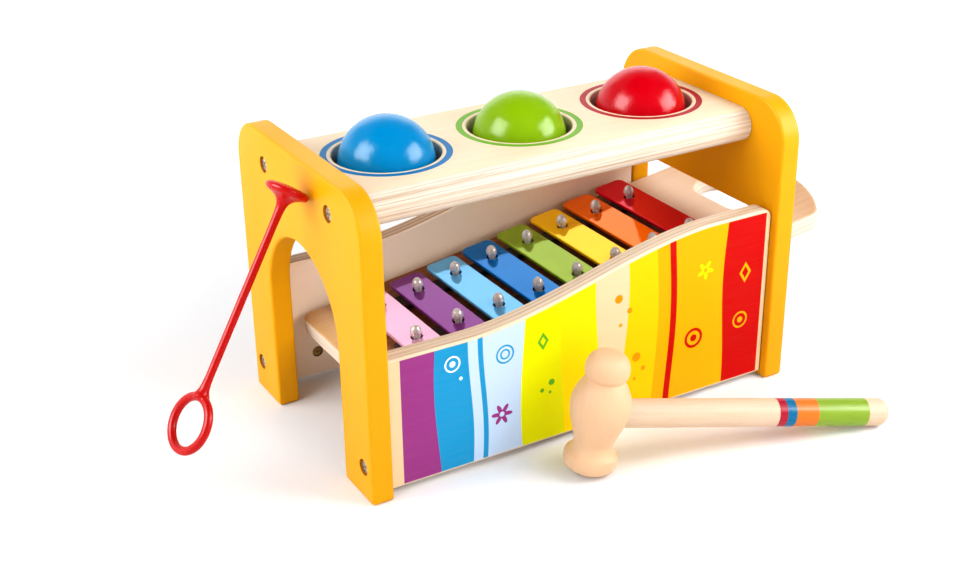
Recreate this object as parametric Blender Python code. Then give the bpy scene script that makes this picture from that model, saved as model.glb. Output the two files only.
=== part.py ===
"""Pounding bench with a slide-out xylophone, a wooden hammer and a plastic beater.

Metres, +Z up.  X runs along the bench (left end panel to right end panel),
Y from the front panel to the back panel, Z from the floor.
"""
import math

import bmesh
import bpy
from mathutils import Matrix, Vector

MM = 0.001

# ---------------------------------------------------------------- dimensions
# bench (millimetres, datum: floor, front edge and outer face of the left end)
LENGTH = 232.5            # over the two end panels
DEPTH = 132.0
HEIGHT = 144.5
END_T = 10.6              # end panel thickness
END_ROUND = 20.0          # top corners of the end panels
EDGE_R = 1.4              # soft edge of painted and bare wood
GAP = 0.3                 # between pieces that touch

ARCH_HALF = 37.5          # ball exit in the left end
ARCH_SPRING = 65.0
SLOT_Y = 13.7             # width of the legs beside the xylophone slot
SLOT_TOP = 87.2
SLOT_R = 7.0

TOP_Z = 136.5             # top board
TOP_T = 17.0
TOP_Y0, TOP_Y1 = 23.0, 109.0
HOLE_R = 25.0
HOLE_LEDGE_R = 23.3       # lip that carries the grip ring
HOLE_LEDGE_T = 2.4
BALL_R = 22.5
BALL_PITCH = 70.25
BALL_Z = [131.4, 130.0, 130.2]      # centres of the blue, green and red ball

SIDE_T = 9.5              # front and back panel
SIDE_Y = 3.8              # set-back of the front panel
SIDE_Z0 = 3.0
SIDE_LOW, SIDE_HIGH = 68.0, 92.6
WAVE_X0, WAVE_X1 = 50.0, 190.0
SIDE_CORNER_R = 5.0

SCREW_HEAD_R, SCREW_HEAD_T = 3.5, 2.0
BORE_R, BORE_DEPTH = 3.9, 3.5
SHANK_R = 1.75
CLEAR_R = 2.05
LOW_SCREW_Z = 16.0
TOP_SCREW_DY = 34.5
TOP_SCREW_Z = 128.8
NUT_R, NUT_L = 2.65, 7.0
NUT_INSET = 17.5          # nut centre from the panel's end
DOWEL_R = 2.5
DOWEL_IN_END, DOWEL_IN_SIDE = 6.5, 13.0
DOWEL_Z_LEFT, DOWEL_Z_RIGHT = 50.0, 72.0

# xylophone (local: u along the slope, y across, n normal to the board's top)
SLOPE = math.radians(8.3)
BOARD_X, BOARD_Z = 18.3, 41.0      # top edge of the board's left end
BOARD_LEN = 267.0
BOARD_HALF = 49.0
BOARD_T = 9.5
BOARD_R = 6.0
BOARD_EDGE = 1.5
BOARD_END_R, BOARD_CORNER_R = 73.5, 10.0   # bowed right end and its corners
HAND_U, HAND_R, HAND_HALF = 231.5, 12.0, 23.0   # long hole for the hand
BAR_U0, BAR_PITCH, BAR_W, BAR_T = 31.2, 21.97, 17.6, 2.0
BAR_TOP = 5.44
BAR_R = 3.5
PIN_HALF_0, PIN_HALF_STEP = 18.95, 1.033   # half distance of a bar's pins
BAR_NODE = 0.552                           # pins sit at the bar's still points
PIN_HOLE_R, BAR_HOLE_R = 2.05, 2.5
PIN_R, PIN_DEPTH = 1.75, 6.0
PIN_HEAD_R, PIN_HEAD_H = 2.75, 6.3
CUSHION_T, CUSHION_W = 2.85, 11.0
REST_W, REST_T = 7.0, 7.0
REST_U0, REST_U1 = 16.0, 200.0

# hammer
HAM_X, HAM_Y = 97.6, -24.3         # centre of the flat end on the floor
HAM_YAW = math.radians(-15.1)
HAM_HANDLE_R, HAM_HANDLE_L = 6.75, 147.0
HAM_SEAT = 28.2                    # handle axis above the flat end
HAM_FLAT_R = 8.8

# beater
BEAT_X, BEAT_Y, BEAT_Z = -67.5, 34.9, 46.1       # ring centre
BEAT_DIR = (0.547, 0.154, 0.823)
BEAT_RING = (0.202, -0.978, 0.049)
BEAT_RM, BEAT_RT = 11.95, 2.05
BEAT_STEM_R = 1.85
BEAT_LEN = 107.0
BEAT_HEAD_R = 9.9

COLOURS = {
    "yellow_paint": ((0.95, 0.50, 0.05), 0.45, 0.0),
    "birch_ply": ((0.86, 0.70, 0.50), 0.50, 0.0),
    "beech": ((0.80, 0.58, 0.36), 0.50, 0.0),
    "steel": ((0.60, 0.60, 0.60), 0.30, 1.0),
    "grip_rubber": ((0.05, 0.05, 0.05), 0.80, 0.0),
    "cushion": ((0.03, 0.03, 0.03), 0.90, 0.0),
    "pearl_plastic": ((0.50, 0.46, 0.44), 0.30, 0.0),
    "red_plastic": ((0.75, 0.01, 0.01), 0.25, 0.0),
    "ball_blue": ((0.00, 0.30, 0.68), 0.15, 0.0),
    "ball_green": ((0.27, 0.58, 0.01), 0.15, 0.0),
    "ball_red": ((0.78, 0.00, 0.01), 0.15, 0.0),
    "bar_pink": ((0.83, 0.46, 0.72), 0.30, 0.0),
    "bar_purple": ((0.30, 0.05, 0.33), 0.30, 0.0),
    "bar_sky": ((0.16, 0.51, 0.87), 0.30, 0.0),
    "bar_blue": ((0.00, 0.16, 0.52), 0.30, 0.0),
    "bar_green": ((0.22, 0.48, 0.03), 0.30, 0.0),
    "bar_yellow": ((0.96, 0.72, 0.00), 0.30, 0.0),
    "bar_orange": ((0.87, 0.16, 0.00), 0.30, 0.0),
    "bar_red": ((0.45, 0.01, 0.02), 0.30, 0.0),
}
BARS = ["pink", "purple", "sky", "blue", "green", "yellow", "orange", "red"]
BALLS = ["blue", "green", "red"]

for old in list(bpy.data.objects):
    bpy.data.objects.remove(old, do_unlink=True)

MATERIALS = {}
for key, (rgb, rough, metal) in COLOURS.items():
    mat = bpy.data.materials.new(key)
    mat.use_nodes = True
    bsdf = mat.node_tree.nodes["Principled BSDF"]
    bsdf.inputs["Base Color"].default_value = (*rgb, 1.0)
    bsdf.inputs["Roughness"].default_value = rough
    bsdf.inputs["Metallic"].default_value = metal
    MATERIALS[key] = mat


# ------------------------------------------------------------------- helpers
def to_object(name, bm, material=None):
    bmesh.ops.remove_doubles(bm, verts=bm.verts, dist=1e-6)
    bmesh.ops.recalc_face_normals(bm, faces=bm.faces)
    mesh = bpy.data.meshes.new(name)
    bm.to_mesh(mesh)
    bm.free()
    obj = bpy.data.objects.new(name, mesh)
    bpy.context.scene.collection.objects.link(obj)
    if material:
        mesh.materials.append(MATERIALS[material])
    return obj


def loft(rings, closed_ends=True):
    """Closed skin over rings of equal vertex count (millimetre points)."""
    bm = bmesh.new()
    loops = [[bm.verts.new(Vector(p) * MM) for p in ring] for ring in rings]
    n = len(loops[0])
    for a, b in zip(loops, loops[1:]):
        for i in range(n):
            j = (i + 1) % n
            bm.faces.new((a[i], a[j], b[j], b[i]))
    if closed_ends:
        bm.faces.new(list(reversed(loops[0])))
        bm.faces.new(loops[-1])
    return bm


def inset(points, d):
    """Polygon moved inwards by d (counter-clockwise outline)."""
    out = []
    n = len(points)
    for i in range(n):
        p, c, q = points[i - 1], points[i], points[(i + 1) % n]
        a = Vector((c[0] - p[0], c[1] - p[1])).normalized()
        b = Vector((q[0] - c[0], q[1] - c[1])).normalized()
        na, nb = Vector((-a.y, a.x)), Vector((-b.y, b.x))
        m = (na + nb) / (1.0 + na.dot(nb))
        out.append((c[0] + m.x * d, c[1] + m.y * d))
    return out


def slab(outline, t, place, edge=0.0, seg=2):
    """Plate from a 2-D outline; place(a, b, h) maps to 3-D; soft edges."""
    levels = []
    if edge > 0:
        for k in range(seg + 1):
            ang = 0.5 * math.pi * k / seg
            levels.append((edge * (1 - math.sin(ang)), edge * (1 - math.cos(ang))))
        levels += [(d, t - h) for d, h in reversed(levels)]
    else:
        levels = [(0.0, 0.0), (0.0, t)]
    rings = []
    for d, h in levels:
        ring = inset(outline, d) if d > 1e-9 else outline
        rings.append([place(a, b, h) for a, b in ring])
    return loft(rings)


def arc(cx, cy, r, a0, a1, n):
    return [(cx + r * math.cos(math.radians(a0 + (a1 - a0) * k / n)),
             cy + r * math.sin(math.radians(a0 + (a1 - a0) * k / n)))
            for k in range(n + 1)]


def lathe(profile, n, place):
    """Solid of revolution; profile = [(radius, height)] from end to end."""
    bm = bmesh.new()
    rows = []
    for r, h in profile:
        if r < 1e-6:
            rows.append([bm.verts.new(Vector(place(0.0, 0.0, h)) * MM)])
        else:
            rows.append([bm.verts.new(Vector(place(r * math.cos(2 * math.pi * i / n),
                                                   r * math.sin(2 * math.pi * i / n), h)) * MM)
                         for i in range(n)])
    for a, b in zip(rows, rows[1:]):
        for i in range(n):
            j = (i + 1) % n
            if len(a) == 1 and len(b) == 1:
                continue
            if len(a) == 1:
                bm.faces.new((a[0], b[j], b[i]))
            elif len(b) == 1:
                bm.faces.new((a[i], a[j], b[0]))
            else:
                bm.faces.new((a[i], a[j], b[j], b[i]))
    if len(rows[0]) > 1:
        bm.faces.new(list(reversed(rows[0])))
    if len(rows[-1]) > 1:
        bm.faces.new(rows[-1])
    return bm


def tube(profile, n, place):
    """Ring of revolution from a closed profile [(radius, height)]."""
    bm = bmesh.new()
    rows = [[bm.verts.new(Vector(place(r * math.cos(2 * math.pi * i / n),
                                       r * math.sin(2 * math.pi * i / n), h)) * MM)
             for i in range(n)] for r, h in profile]
    for k in range(len(rows)):
        a, b = rows[k], rows[(k + 1) % len(rows)]
        for i in range(n):
            j = (i + 1) % n
            bm.faces.new((a[i], a[j], b[j], b[i]))
    return bm


def join(bms):
    out = bmesh.new()
    for b in bms:
        tmp = bpy.data.meshes.new("tmp")
        bmesh.ops.recalc_face_normals(b, faces=b.faces)
        b.to_mesh(tmp)
        b.free()
        out.from_mesh(tmp)
        bpy.data.meshes.remove(tmp)
    return out


def boolean(obj, cutter_bm, operation="DIFFERENCE"):
    cutter = to_object("cutter", cutter_bm)
    cutter.hide_render = True
    cutter.display_type = "WIRE"
    cutter.matrix_world = obj.matrix_world
    mod = obj.modifiers.new("cut", "BOOLEAN")
    mod.operation = operation
    mod.solver = "EXACT"
    mod.object = cutter
    bpy.context.view_layer.update()
    graph = bpy.context.evaluated_depsgraph_get()
    mesh = bpy.data.meshes.new_from_object(obj.evaluated_get(graph))
    old = obj.data
    obj.modifiers.clear()
    obj.data = mesh
    bpy.data.meshes.remove(old)
    mesh.name = obj.name
    bpy.data.objects.remove(cutter, do_unlink=True)
    bm = bmesh.new()
    bm.from_mesh(mesh)
    bmesh.ops.remove_doubles(bm, verts=bm.verts, dist=1e-6)
    bmesh.ops.dissolve_degenerate(bm, edges=bm.edges, dist=1e-6)
    bm.to_mesh(mesh)
    bm.free()
    return obj


def along_x(x0, y, z, sign=1):
    return lambda a, b, h: (x0 + sign * h, y + sign * a, z + b)


def along_y(x, y0, z, sign=1):
    return lambda a, b, h: (x + a, y0 + sign * h, z - sign * b)


def along_z(x, y, z0):
    return lambda a, b, h: (x + a, y + b, z0 + h)


def cyl(r, h, n, place):
    return lathe([(r, 0.0), (r, h)], n, place)


MID_Y = DEPTH / 2.0
BALL_X = [LENGTH / 2 + BALL_PITCH * k for k in (-1, 0, 1)]
BACK_Y = DEPTH - SIDE_Y - SIDE_T          # inner face of the back panel
FRONT_MID = SIDE_Y + SIDE_T / 2
BACK_MID = DEPTH - FRONT_MID
TOP_MID = [MID_Y - TOP_SCREW_DY, MID_Y + TOP_SCREW_DY]


def wave(x):
    t = min(1.0, max(0.0, (x - WAVE_X0) / (WAVE_X1 - WAVE_X0)))
    return SIDE_LOW + (SIDE_HIGH - SIDE_LOW) * t * t * (3.0 - 2.0 * t)


# ---------------------------------------------------------------- end panels
def end_outline(left):
    pts = [(DEPTH, 0.0)]
    pts += arc(DEPTH - END_ROUND, HEIGHT - END_ROUND, END_ROUND, 0, 90, 6)
    pts += arc(END_ROUND, HEIGHT - END_ROUND, END_ROUND, 90, 180, 6)
    pts += [(0.0, 0.0)]
    if left:
        pts += [(MID_Y - ARCH_HALF, 0.0)]
        pts += arc(MID_Y, ARCH_SPRING, ARCH_HALF, 180, 0, 20)
        pts += [(MID_Y + ARCH_HALF, 0.0)]
    else:
        pts += [(SLOT_Y, 0.0)]
        pts += arc(SLOT_Y + SLOT_R, SLOT_TOP - SLOT_R, SLOT_R, 180, 90, 4)
        pts += arc(DEPTH - SLOT_Y - SLOT_R, SLOT_TOP - SLOT_R, SLOT_R, 90, 0, 4)
        pts += [(DEPTH - SLOT_Y, 0.0)]
    return pts


def end_screw_points():
    return [(FRONT_MID, LOW_SCREW_Z), (BACK_MID, LOW_SCREW_Z),
            (TOP_MID[0], TOP_SCREW_Z), (TOP_MID[1], TOP_SCREW_Z)]


for left in (True, False):
    name = "end_panel_left" if left else "end_panel_right"
    x_in = END_T if left else LENGTH - END_T
    x_out = 0.0 if left else LENGTH
    x0 = 0.0 if left else LENGTH - END_T
    obj = to_object(name, slab(end_outline(left), END_T,
                               lambda a, b, h, x0=x0: (x0 + h, a, b), EDGE_R), "yellow_paint")
    s = 1 if left else -1
    cuts = []
    for y, z in end_screw_points():
        # counterbore and clearance hole as one stepped cutter
        cuts.append(lathe([(BORE_R, -1.0), (BORE_R, BORE_DEPTH), (CLEAR_R, BORE_DEPTH),
                           (CLEAR_R, END_T + 1.0)], 16, along_x(x_out, y, z, s)))
    zd = DOWEL_Z_LEFT if left else DOWEL_Z_RIGHT
    for y in (FRONT_MID, BACK_MID):
        cuts.append(cyl(DOWEL_R + 0.15, DOWEL_IN_END + 1.0, 12,
                        along_x(x_in + s * 1.0, y, zd, -s)))
    boolean(obj, join(cuts))

# ----------------------------------------------------------------- top board
r = TOP_T / 2.0
profile = arc(TOP_Y0 + r, TOP_Z - r, r, 270, 90, 6) + arc(TOP_Y1 - r, TOP_Z - r, r, 90, -90, 6)
profile = list(reversed(profile))
top = to_object("top_board", slab(profile, LENGTH - 2 * END_T - 2 * GAP,
                                  lambda a, b, h: (END_T + GAP + h, a, b)), "birch_ply")
cuts = []
for bx in BALL_X:
    z0 = TOP_Z - TOP_T
    cuts.append(lathe([(HOLE_LEDGE_R, -1.0), (HOLE_LEDGE_R, HOLE_LEDGE_T), (HOLE_R, HOLE_LEDGE_T),
                       (HOLE_R, TOP_T + 1.0)], 32, along_z(bx, MID_Y, z0)))
for y in TOP_MID:
    cuts.append(cyl(CLEAR_R, 26.0, 10, along_x(END_T - 1.0, y, TOP_SCREW_Z, 1)))
    cuts.append(cyl(CLEAR_R, 26.0, 10, along_x(LENGTH - END_T + 1.0, y, TOP_SCREW_Z, -1)))
boolean(top, join(cuts))

# ------------------------------------------------------ front and back panels
xl, xr = END_T + GAP, LENGTH - END_T - GAP
side = [(xl, SIDE_Z0), (xr, SIDE_Z0)]
side += arc(xr - SIDE_CORNER_R, SIDE_HIGH - SIDE_CORNER_R, SIDE_CORNER_R, 0, 90, 4)
steps = 14
for k in range(steps + 1):
    x = WAVE_X1 + (WAVE_X0 - WAVE_X1) * k / steps
    side.append((x, wave(x)))
side.append((xl, SIDE_LOW))
for front in (True, False):
    y0 = SIDE_Y if front else BACK_Y
    obj = to_object("front_panel" if front else "back_panel",
                    slab(side, SIDE_T, lambda a, b, h, y0=y0: (a, y0 + h, b), 1.6, 1), "birch_ply")
    ymid = y0 + SIDE_T / 2
    cuts = []
    for x_end, s, zd in ((xl, 1, DOWEL_Z_LEFT), (xr, -1, DOWEL_Z_RIGHT)):
        cuts.append(cyl(CLEAR_R, 26.0, 10, along_x(x_end - s, ymid, LOW_SCREW_Z, s)))
        cuts.append(cyl(DOWEL_R + 0.15, DOWEL_IN_SIDE + 1.0, 12, along_x(x_end - s, ymid, zd, s)))
        # cross hole for the barrel nut, from the inner face
        xn = x_end + s * NUT_INSET
        y_in = SIDE_Y + SIDE_T if front else BACK_Y
        d = -1 if front else 1
        cuts.append(cyl(NUT_R + 0.15, 1.0 + NUT_L + 0.8, 14, along_y(xn, y_in - d * 1.0, LOW_SCREW_Z, d)))
    # overlapping holes are cut one after the other
    for c in cuts:
        boolean(obj, c)

# ------------------------------------------------------ screws, nuts, dowels
def screw_bm(length, place):
    bm = lathe([(0.0, 0.0), (SCREW_HEAD_R - 0.5, 0.0), (SCREW_HEAD_R, 0.5),
                (SCREW_HEAD_R, SCREW_HEAD_T), (SHANK_R, SCREW_HEAD_T),
                (SHANK_R, length - 1.5), (0.8, length)], 12, place)
    return bm


def cross_bm(place):
    w, a, d = 0.55, 2.0, 1.3
    pts = [(w, w), (w, a), (-w, a), (-w, w), (-a, w), (-a, -w), (-w, -w), (-w, -a),
           (w, -a), (w, -w), (a, -w), (a, w)]
    return loft([[place(p[0], p[1], -0.5) for p in pts],
                 [place(p[0] * 0.8, p[1] * 0.8, d) for p in pts]])


HEAD_IN = BORE_DEPTH - SCREW_HEAD_T - 0.1      # head seats on the counterbore
for left in (True, False):
    s = 1 if left else -1
    x0 = (0.0 if left else LENGTH) + s * HEAD_IN
    side_name = "left" if left else "right"
    for front in (True, False):
        fb = "front" if front else "back"
        ymid = FRONT_MID if front else BACK_MID
        place = along_x(x0, ymid, LOW_SCREW_Z, s)
        obj = to_object(f"screw_low_{side_name}_{fb}", screw_bm(31.0, place), "steel")
        boolean(obj, cross_bm(place))
        place = along_x(x0, TOP_MID[0 if front else 1], TOP_SCREW_Z, s)
        obj = to_object(f"screw_top_{side_name}_{fb}", screw_bm(31.0, place), "steel")
        boolean(obj, cross_bm(place))
        # barrel nut: cross hole along X takes the screw
        xn = (xl if left else xr) + s * NUT_INSET
        obj = to_object(f"barrel_nut_{side_name}_{fb}",
                        cyl(NUT_R, NUT_L, 14, along_y(xn, ymid - NUT_L / 2 + (0.6 if front else -0.6),
                                                      LOW_SCREW_Z, 1)), "steel")
        boolean(obj, cyl(SHANK_R + 0.25, 12.0, 10, along_x(xn - 6.0, ymid, LOW_SCREW_Z, 1)))
        zd = DOWEL_Z_LEFT if left else DOWEL_Z_RIGHT
        x_in = END_T if left else LENGTH - END_T
        to_object(f"dowel_{side_name}_{fb}",
                  cyl(DOWEL_R, DOWEL_IN_END + DOWEL_IN_SIDE - 0.6, 12,
                      along_x(x_in - s * (DOWEL_IN_END - 0.4), ymid, zd, s)), "beech")

# --------------------------------------------------------- grip rings, balls
def ball_inner(z, centre):
    return math.sqrt(BALL_R ** 2 - (z - centre) ** 2)


for name, bx, bz in zip(BALLS, BALL_X, BALL_Z):
    z0 = TOP_Z - TOP_T + HOLE_LEDGE_T + 0.1
    z1 = z0 + 4.4
    zm = 0.5 * (z0 + z1)
    prof = [(HOLE_R - 0.2, z0), (HOLE_R - 0.2, z1), (ball_inner(z1, bz) + 0.75, z1),
            (ball_inner(zm, bz) + 0.40, zm), (ball_inner(z0 + 0.6, bz) + 0.40, z0 + 0.6),
            (ball_inner(z0, bz) + 0.9, z0)]
    to_object(f"grip_ring_{name}", tube(prof, 28, along_z(bx, MID_Y, 0.0)), "grip_rubber")
    rows = 12
    prof = [(BALL_R * math.sin(math.pi * k / rows), -BALL_R * math.cos(math.pi * k / rows))
            for k in range(rows + 1)]
    prof[0], prof[-1] = (0.0, -BALL_R), (0.0, BALL_R)
    obj = to_object(f"ball_{name}", lathe(prof, 24, along_z(0.0, 0.0, 0.0)), f"ball_{name}")
    obj.location = Vector((bx, MID_Y, bz)) * MM

# ------------------------------------------------------------------ xylophone
XYLO = (Matrix.Translation(Vector((BOARD_X, MID_Y, BOARD_Z)) * MM)
        @ Matrix.Rotation(-SLOPE, 4, "Y"))


def pin_half(i):
    return PIN_HALF_0 + PIN_HALF_STEP * i


UC = BOARD_LEN - BOARD_END_R
yc = BOARD_HALF - BOARD_CORNER_R
uc = UC + math.sqrt((BOARD_END_R - BOARD_CORNER_R) ** 2 - yc ** 2)
ac = math.degrees(math.atan2(yc, uc - UC))
outline = arc(BOARD_R, -BOARD_HALF + BOARD_R, BOARD_R, 180, 270, 5)
outline += arc(uc, -yc, BOARD_CORNER_R, -90, -ac, 4)
outline += arc(UC, 0.0, BOARD_END_R, -ac, ac, 12)[1:-1]
outline += arc(uc, yc, BOARD_CORNER_R, ac, 90, 4)
outline += arc(BOARD_R, BOARD_HALF - BOARD_R, BOARD_R, 90, 180, 5)
board = to_object("xylophone_board", slab(outline, BOARD_T, lambda a, b, h: (a, b, h - BOARD_T), BOARD_EDGE, 1),
                  "birch_ply")
hand = arc(HAND_U, HAND_HALF - HAND_R, HAND_R, 0, 180, 10)
hand += arc(HAND_U, HAND_R - HAND_HALF, HAND_R, 180, 360, 10)
cuts = [slab(hand, BOARD_T + 2, lambda a, b, h: (a, b, h - BOARD_T - 1))]
for i in range(8):
    for s in (-1, 1):
        cuts.append(cyl(PIN_HOLE_R, PIN_DEPTH + 1.5, 8,
                        along_z(BAR_U0 + BAR_PITCH * i, s * pin_half(i), -PIN_DEPTH - 0.5)))
boolean(board, join(cuts))
board.matrix_world = XYLO

for s, fb in ((-1, "front"), (1, "back")):
    y0, y1 = pin_half(-0.45), pin_half(7.45)
    u0, u1 = BAR_U0 - 0.45 * BAR_PITCH, BAR_U0 + 7.45 * BAR_PITCH
    strip = [(u0, s * y0 - CUSHION_W / 2), (u1, s * y1 - CUSHION_W / 2),
             (u1, s * y1 + CUSHION_W / 2), (u0, s * y0 + CUSHION_W / 2)]
    obj = to_object(f"cushion_{fb}", slab(strip, CUSHION_T, lambda a, b, h: (a, b, h + 0.2)), "cushion")
    boolean(obj, join([cyl(PIN_HOLE_R, CUSHION_T + 2, 8,
                           along_z(BAR_U0 + BAR_PITCH * i, s * pin_half(i), -0.8)) for i in range(8)]))
    obj.matrix_world = XYLO

for i, colour in enumerate(BARS):
    uc, hl, hw = BAR_U0 + BAR_PITCH * i, pin_half(i) / BAR_NODE, BAR_W / 2
    pts = (arc(uc + hw - BAR_R, -hl + BAR_R, BAR_R, -90, 0, 3) + arc(uc + hw - BAR_R, hl - BAR_R, BAR_R, 0, 90, 3)
           + arc(uc - hw + BAR_R, hl - BAR_R, BAR_R, 90, 180, 3)
           + arc(uc - hw + BAR_R, -hl + BAR_R, BAR_R, 180, 270, 3))
    obj = to_object(f"bar_{colour}", slab(pts, BAR_T, lambda a, b, h: (a, b, BAR_TOP - BAR_T + h)),
                    f"bar_{colour}")
    boolean(obj, join([cyl(BAR_HOLE_R, BAR_T + 2, 10, along_z(uc, s * pin_half(i), BAR_TOP - BAR_T - 1))
                       for s in (-1, 1)]))
    obj.matrix_world = XYLO
    for s, fb in ((-1, "front"), (1, "back")):
        h0 = BAR_TOP + 0.3
        prof = [(0.0, -PIN_DEPTH), (PIN_R, -PIN_DEPTH), (PIN_R, h0),
                (2.55, h0 + 0.15), (PIN_HEAD_R, h0 + 1.9), (2.45, h0 + 3.6),
                (1.4, h0 + 5.4), (0.0, BAR_TOP + PIN_HEAD_H)]
        obj = to_object(f"pin_{colour}_{fb}", lathe(prof, 10, along_z(uc, s * pin_half(i), 0.0)),
                        "pearl_plastic")
        obj.matrix_world = XYLO

# ledges glued to the panels; the board rests and slides on them
for s, fb in ((-1, "front"), (1, "back")):
    ya = SIDE_Y + SIDE_T + GAP - MID_Y
    y0, y1 = (ya, ya + REST_W) if s < 0 else (-ya - REST_W, -ya)
    n1 = -BOARD_T - GAP
    bm = slab([(REST_U0, y0), (REST_U1, y0), (REST_U1, y1), (REST_U0, y1)], REST_T,
              lambda a, b, h: (a, b, n1 - REST_T + h), 0.6, 1)
    obj = to_object(f"rest_strip_{fb}", bm, "beech")
    obj.matrix_world = XYLO

# --------------------------------------------------------------------- hammer
tilt = min(math.atan((HAM_SEAT - HAM_HANDLE_R + dr) / (HAM_HANDLE_L - dl - HAM_FLAT_R))
           for dr, dl in ((0.0, 4.2), (0.3, 2.4), (1.3, 1.1)))
e = Vector((math.cos(HAM_YAW), math.sin(HAM_YAW), 0.0))
hx = e * math.cos(tilt) - Vector((0, 0, 1)) * math.sin(tilt)
uz = e * math.sin(tilt) + Vector((0, 0, 1)) * math.cos(tilt)
vy = uz.cross(hx)
prof = [(0.0, 0.0), (HAM_FLAT_R, 0.0), (10.3, 0.7), (11.8, 2.0), (12.55, 3.6), (12.75, 5.2), (12.55, 7.4), (12.0, 8.8),
        (10.9, 10.0), (9.8, 11.8), (9.3, 13.6), (9.8, 16.2), (11.6, 21.6), (13.2, 26.8), (13.95, 32.2), (13.6, 36.6),
        (12.0, 41.4), (8.75, 46.2), (9.7, 47.6), (10.3, 49.4), (10.35, 51.4), (9.8, 54.0), (8.3, 56.6), (5.5, 58.5),
        (2.6, 59.1), (0.0, 59.2)]
lift = max(r * math.sin(tilt) - h * math.cos(tilt) for r, h in prof) + 0.15
HAM = Matrix((hx, vy, uz)).transposed().to_4x4()
HAM.translation = Vector((HAM_X, HAM_Y, lift)) * MM

head = to_object("hammer_head", lathe(prof, 24, along_z(0.0, 0.0, 0.0)), "beech")
boolean(head, cyl(HAM_HANDLE_R + 0.2, 30.0, 16, lambda a, b, h: (h - 7.0, a, HAM_SEAT + b)))
head.matrix_world = HAM
hl = HAM_HANDLE_L
prof = [(0.0, -6.7), (HAM_HANDLE_R - 0.6, -6.7), (HAM_HANDLE_R, -6.1), (HAM_HANDLE_R, hl - 4.2),
        (HAM_HANDLE_R - 0.3, hl - 2.4), (HAM_HANDLE_R - 1.3, hl - 1.1), (HAM_HANDLE_R - 3.0, hl - 0.4),
        (0.0, hl)]
handle = to_object("hammer_handle", lathe(prof, 16, lambda a, b, h: (h, a, HAM_SEAT + b)), "beech")
handle.matrix_world = HAM

# --------------------------------------------------------------------- beater
w = Vector(BEAT_DIR).normalized()
q = Vector(BEAT_RING)
q = (q - w * q.dot(w)).normalized()
BEAT = Matrix((q, w.cross(q), w)).transposed().to_4x4()
BEAT.translation = Vector((BEAT_X, BEAT_Y, BEAT_Z)) * MM

n_ring, n_sec = 28, 8
bm = bmesh.new()
rows = []
for i in range(n_ring):
    a = 2 * math.pi * i / n_ring
    rows.append([bm.verts.new(Vector(((BEAT_RM + BEAT_RT * math.cos(b)) * math.cos(a),
                                      BEAT_RT * math.sin(b),
                                      (BEAT_RM + BEAT_RT * math.cos(b)) * math.sin(a))) * MM)
                 for b in (2 * math.pi * k / n_sec for k in range(n_sec))])
for i in range(n_ring):
    a, b = rows[i], rows[(i + 1) % n_ring]
    for k in range(n_sec):
        m = (k + 1) % n_sec
        bm.faces.new((a[k], a[m], b[m], b[k]))
beater = to_object("beater", bm, "red_plastic")
hh, hr, sr = BEAT_LEN, BEAT_HEAD_R, BEAT_STEM_R
prof = [(0.0, BEAT_RM - 1.2), (1.5, BEAT_RM - 1.2), (3.6, BEAT_RM + 0.9), (2.5, BEAT_RM + 3.0), (2.0, BEAT_RM + 5.6),
        (sr, BEAT_RM + 10.0), (sr, hh - 18.0), (2.05, hh - 9.5), (2.6, hh - 5.6), (3.7, hh - 3.8), (5.5, hh - 2.4),
        (8.5, hh - 1.4), (hr - 0.25, hh - 0.7), (hr, hh + 0.2), (hr - 0.45, hh + 1.5), (hr - 2.4, hh + 2.2),
        (hr - 5.5, hh + 2.65), (0.0, hh + 2.9)]
boolean(beater, lathe(prof, 12, along_z(0.0, 0.0, 0.0)), "UNION")
beater.matrix_world = BEAT

# -------------------------- datum: centre of the toy's footprint on the floor
bpy.context.view_layer.update()
lo = Vector((1e9, 1e9, 1e9))
hi = -lo
for obj in bpy.data.objects:
    for v in obj.data.vertices:
        p = obj.matrix_world @ v.co
        for k in range(3):
            lo[k] = min(lo[k], p[k])
            hi[k] = max(hi[k], p[k])
shift = Vector(((lo.x + hi.x) / 2, (lo.y + hi.y) / 2, lo.z))
for obj in bpy.data.objects:
    obj.location = obj.location - shift
for obj in bpy.data.objects:
    obj.data.shade_smooth()
    obj.data.set_sharp_from_angle(angle=math.radians(32))
bpy.context.view_layer.update()
print("datum shift mm", [round(c * 1000, 4) for c in shift], "size mm", [round((hi[k] - lo[k]) * 1000, 3) for k in range(3)])
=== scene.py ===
"""Looks of the pounding xylophone bench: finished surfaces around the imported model."""
import math

import bmesh
import bpy
from mathutils import Matrix, Vector


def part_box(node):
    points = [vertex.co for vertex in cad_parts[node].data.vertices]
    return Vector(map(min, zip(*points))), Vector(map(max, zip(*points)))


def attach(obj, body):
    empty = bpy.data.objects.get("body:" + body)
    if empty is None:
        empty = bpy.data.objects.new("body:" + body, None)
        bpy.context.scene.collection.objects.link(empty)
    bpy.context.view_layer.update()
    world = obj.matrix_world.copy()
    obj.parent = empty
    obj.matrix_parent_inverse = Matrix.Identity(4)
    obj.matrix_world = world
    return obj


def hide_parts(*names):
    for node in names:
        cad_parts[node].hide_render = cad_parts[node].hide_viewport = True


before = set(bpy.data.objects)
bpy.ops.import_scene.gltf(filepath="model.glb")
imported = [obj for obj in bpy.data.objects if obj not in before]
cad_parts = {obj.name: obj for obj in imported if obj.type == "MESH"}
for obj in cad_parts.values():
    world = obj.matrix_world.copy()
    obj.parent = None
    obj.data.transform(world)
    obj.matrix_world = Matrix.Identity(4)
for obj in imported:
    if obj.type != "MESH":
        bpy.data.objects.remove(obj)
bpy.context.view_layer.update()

MM = 0.001
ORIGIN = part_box("end_panel_left")[0]          # bench datum: floor, front edge, outer face of the left end
BENCH = Matrix.Translation(ORIGIN)

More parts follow.
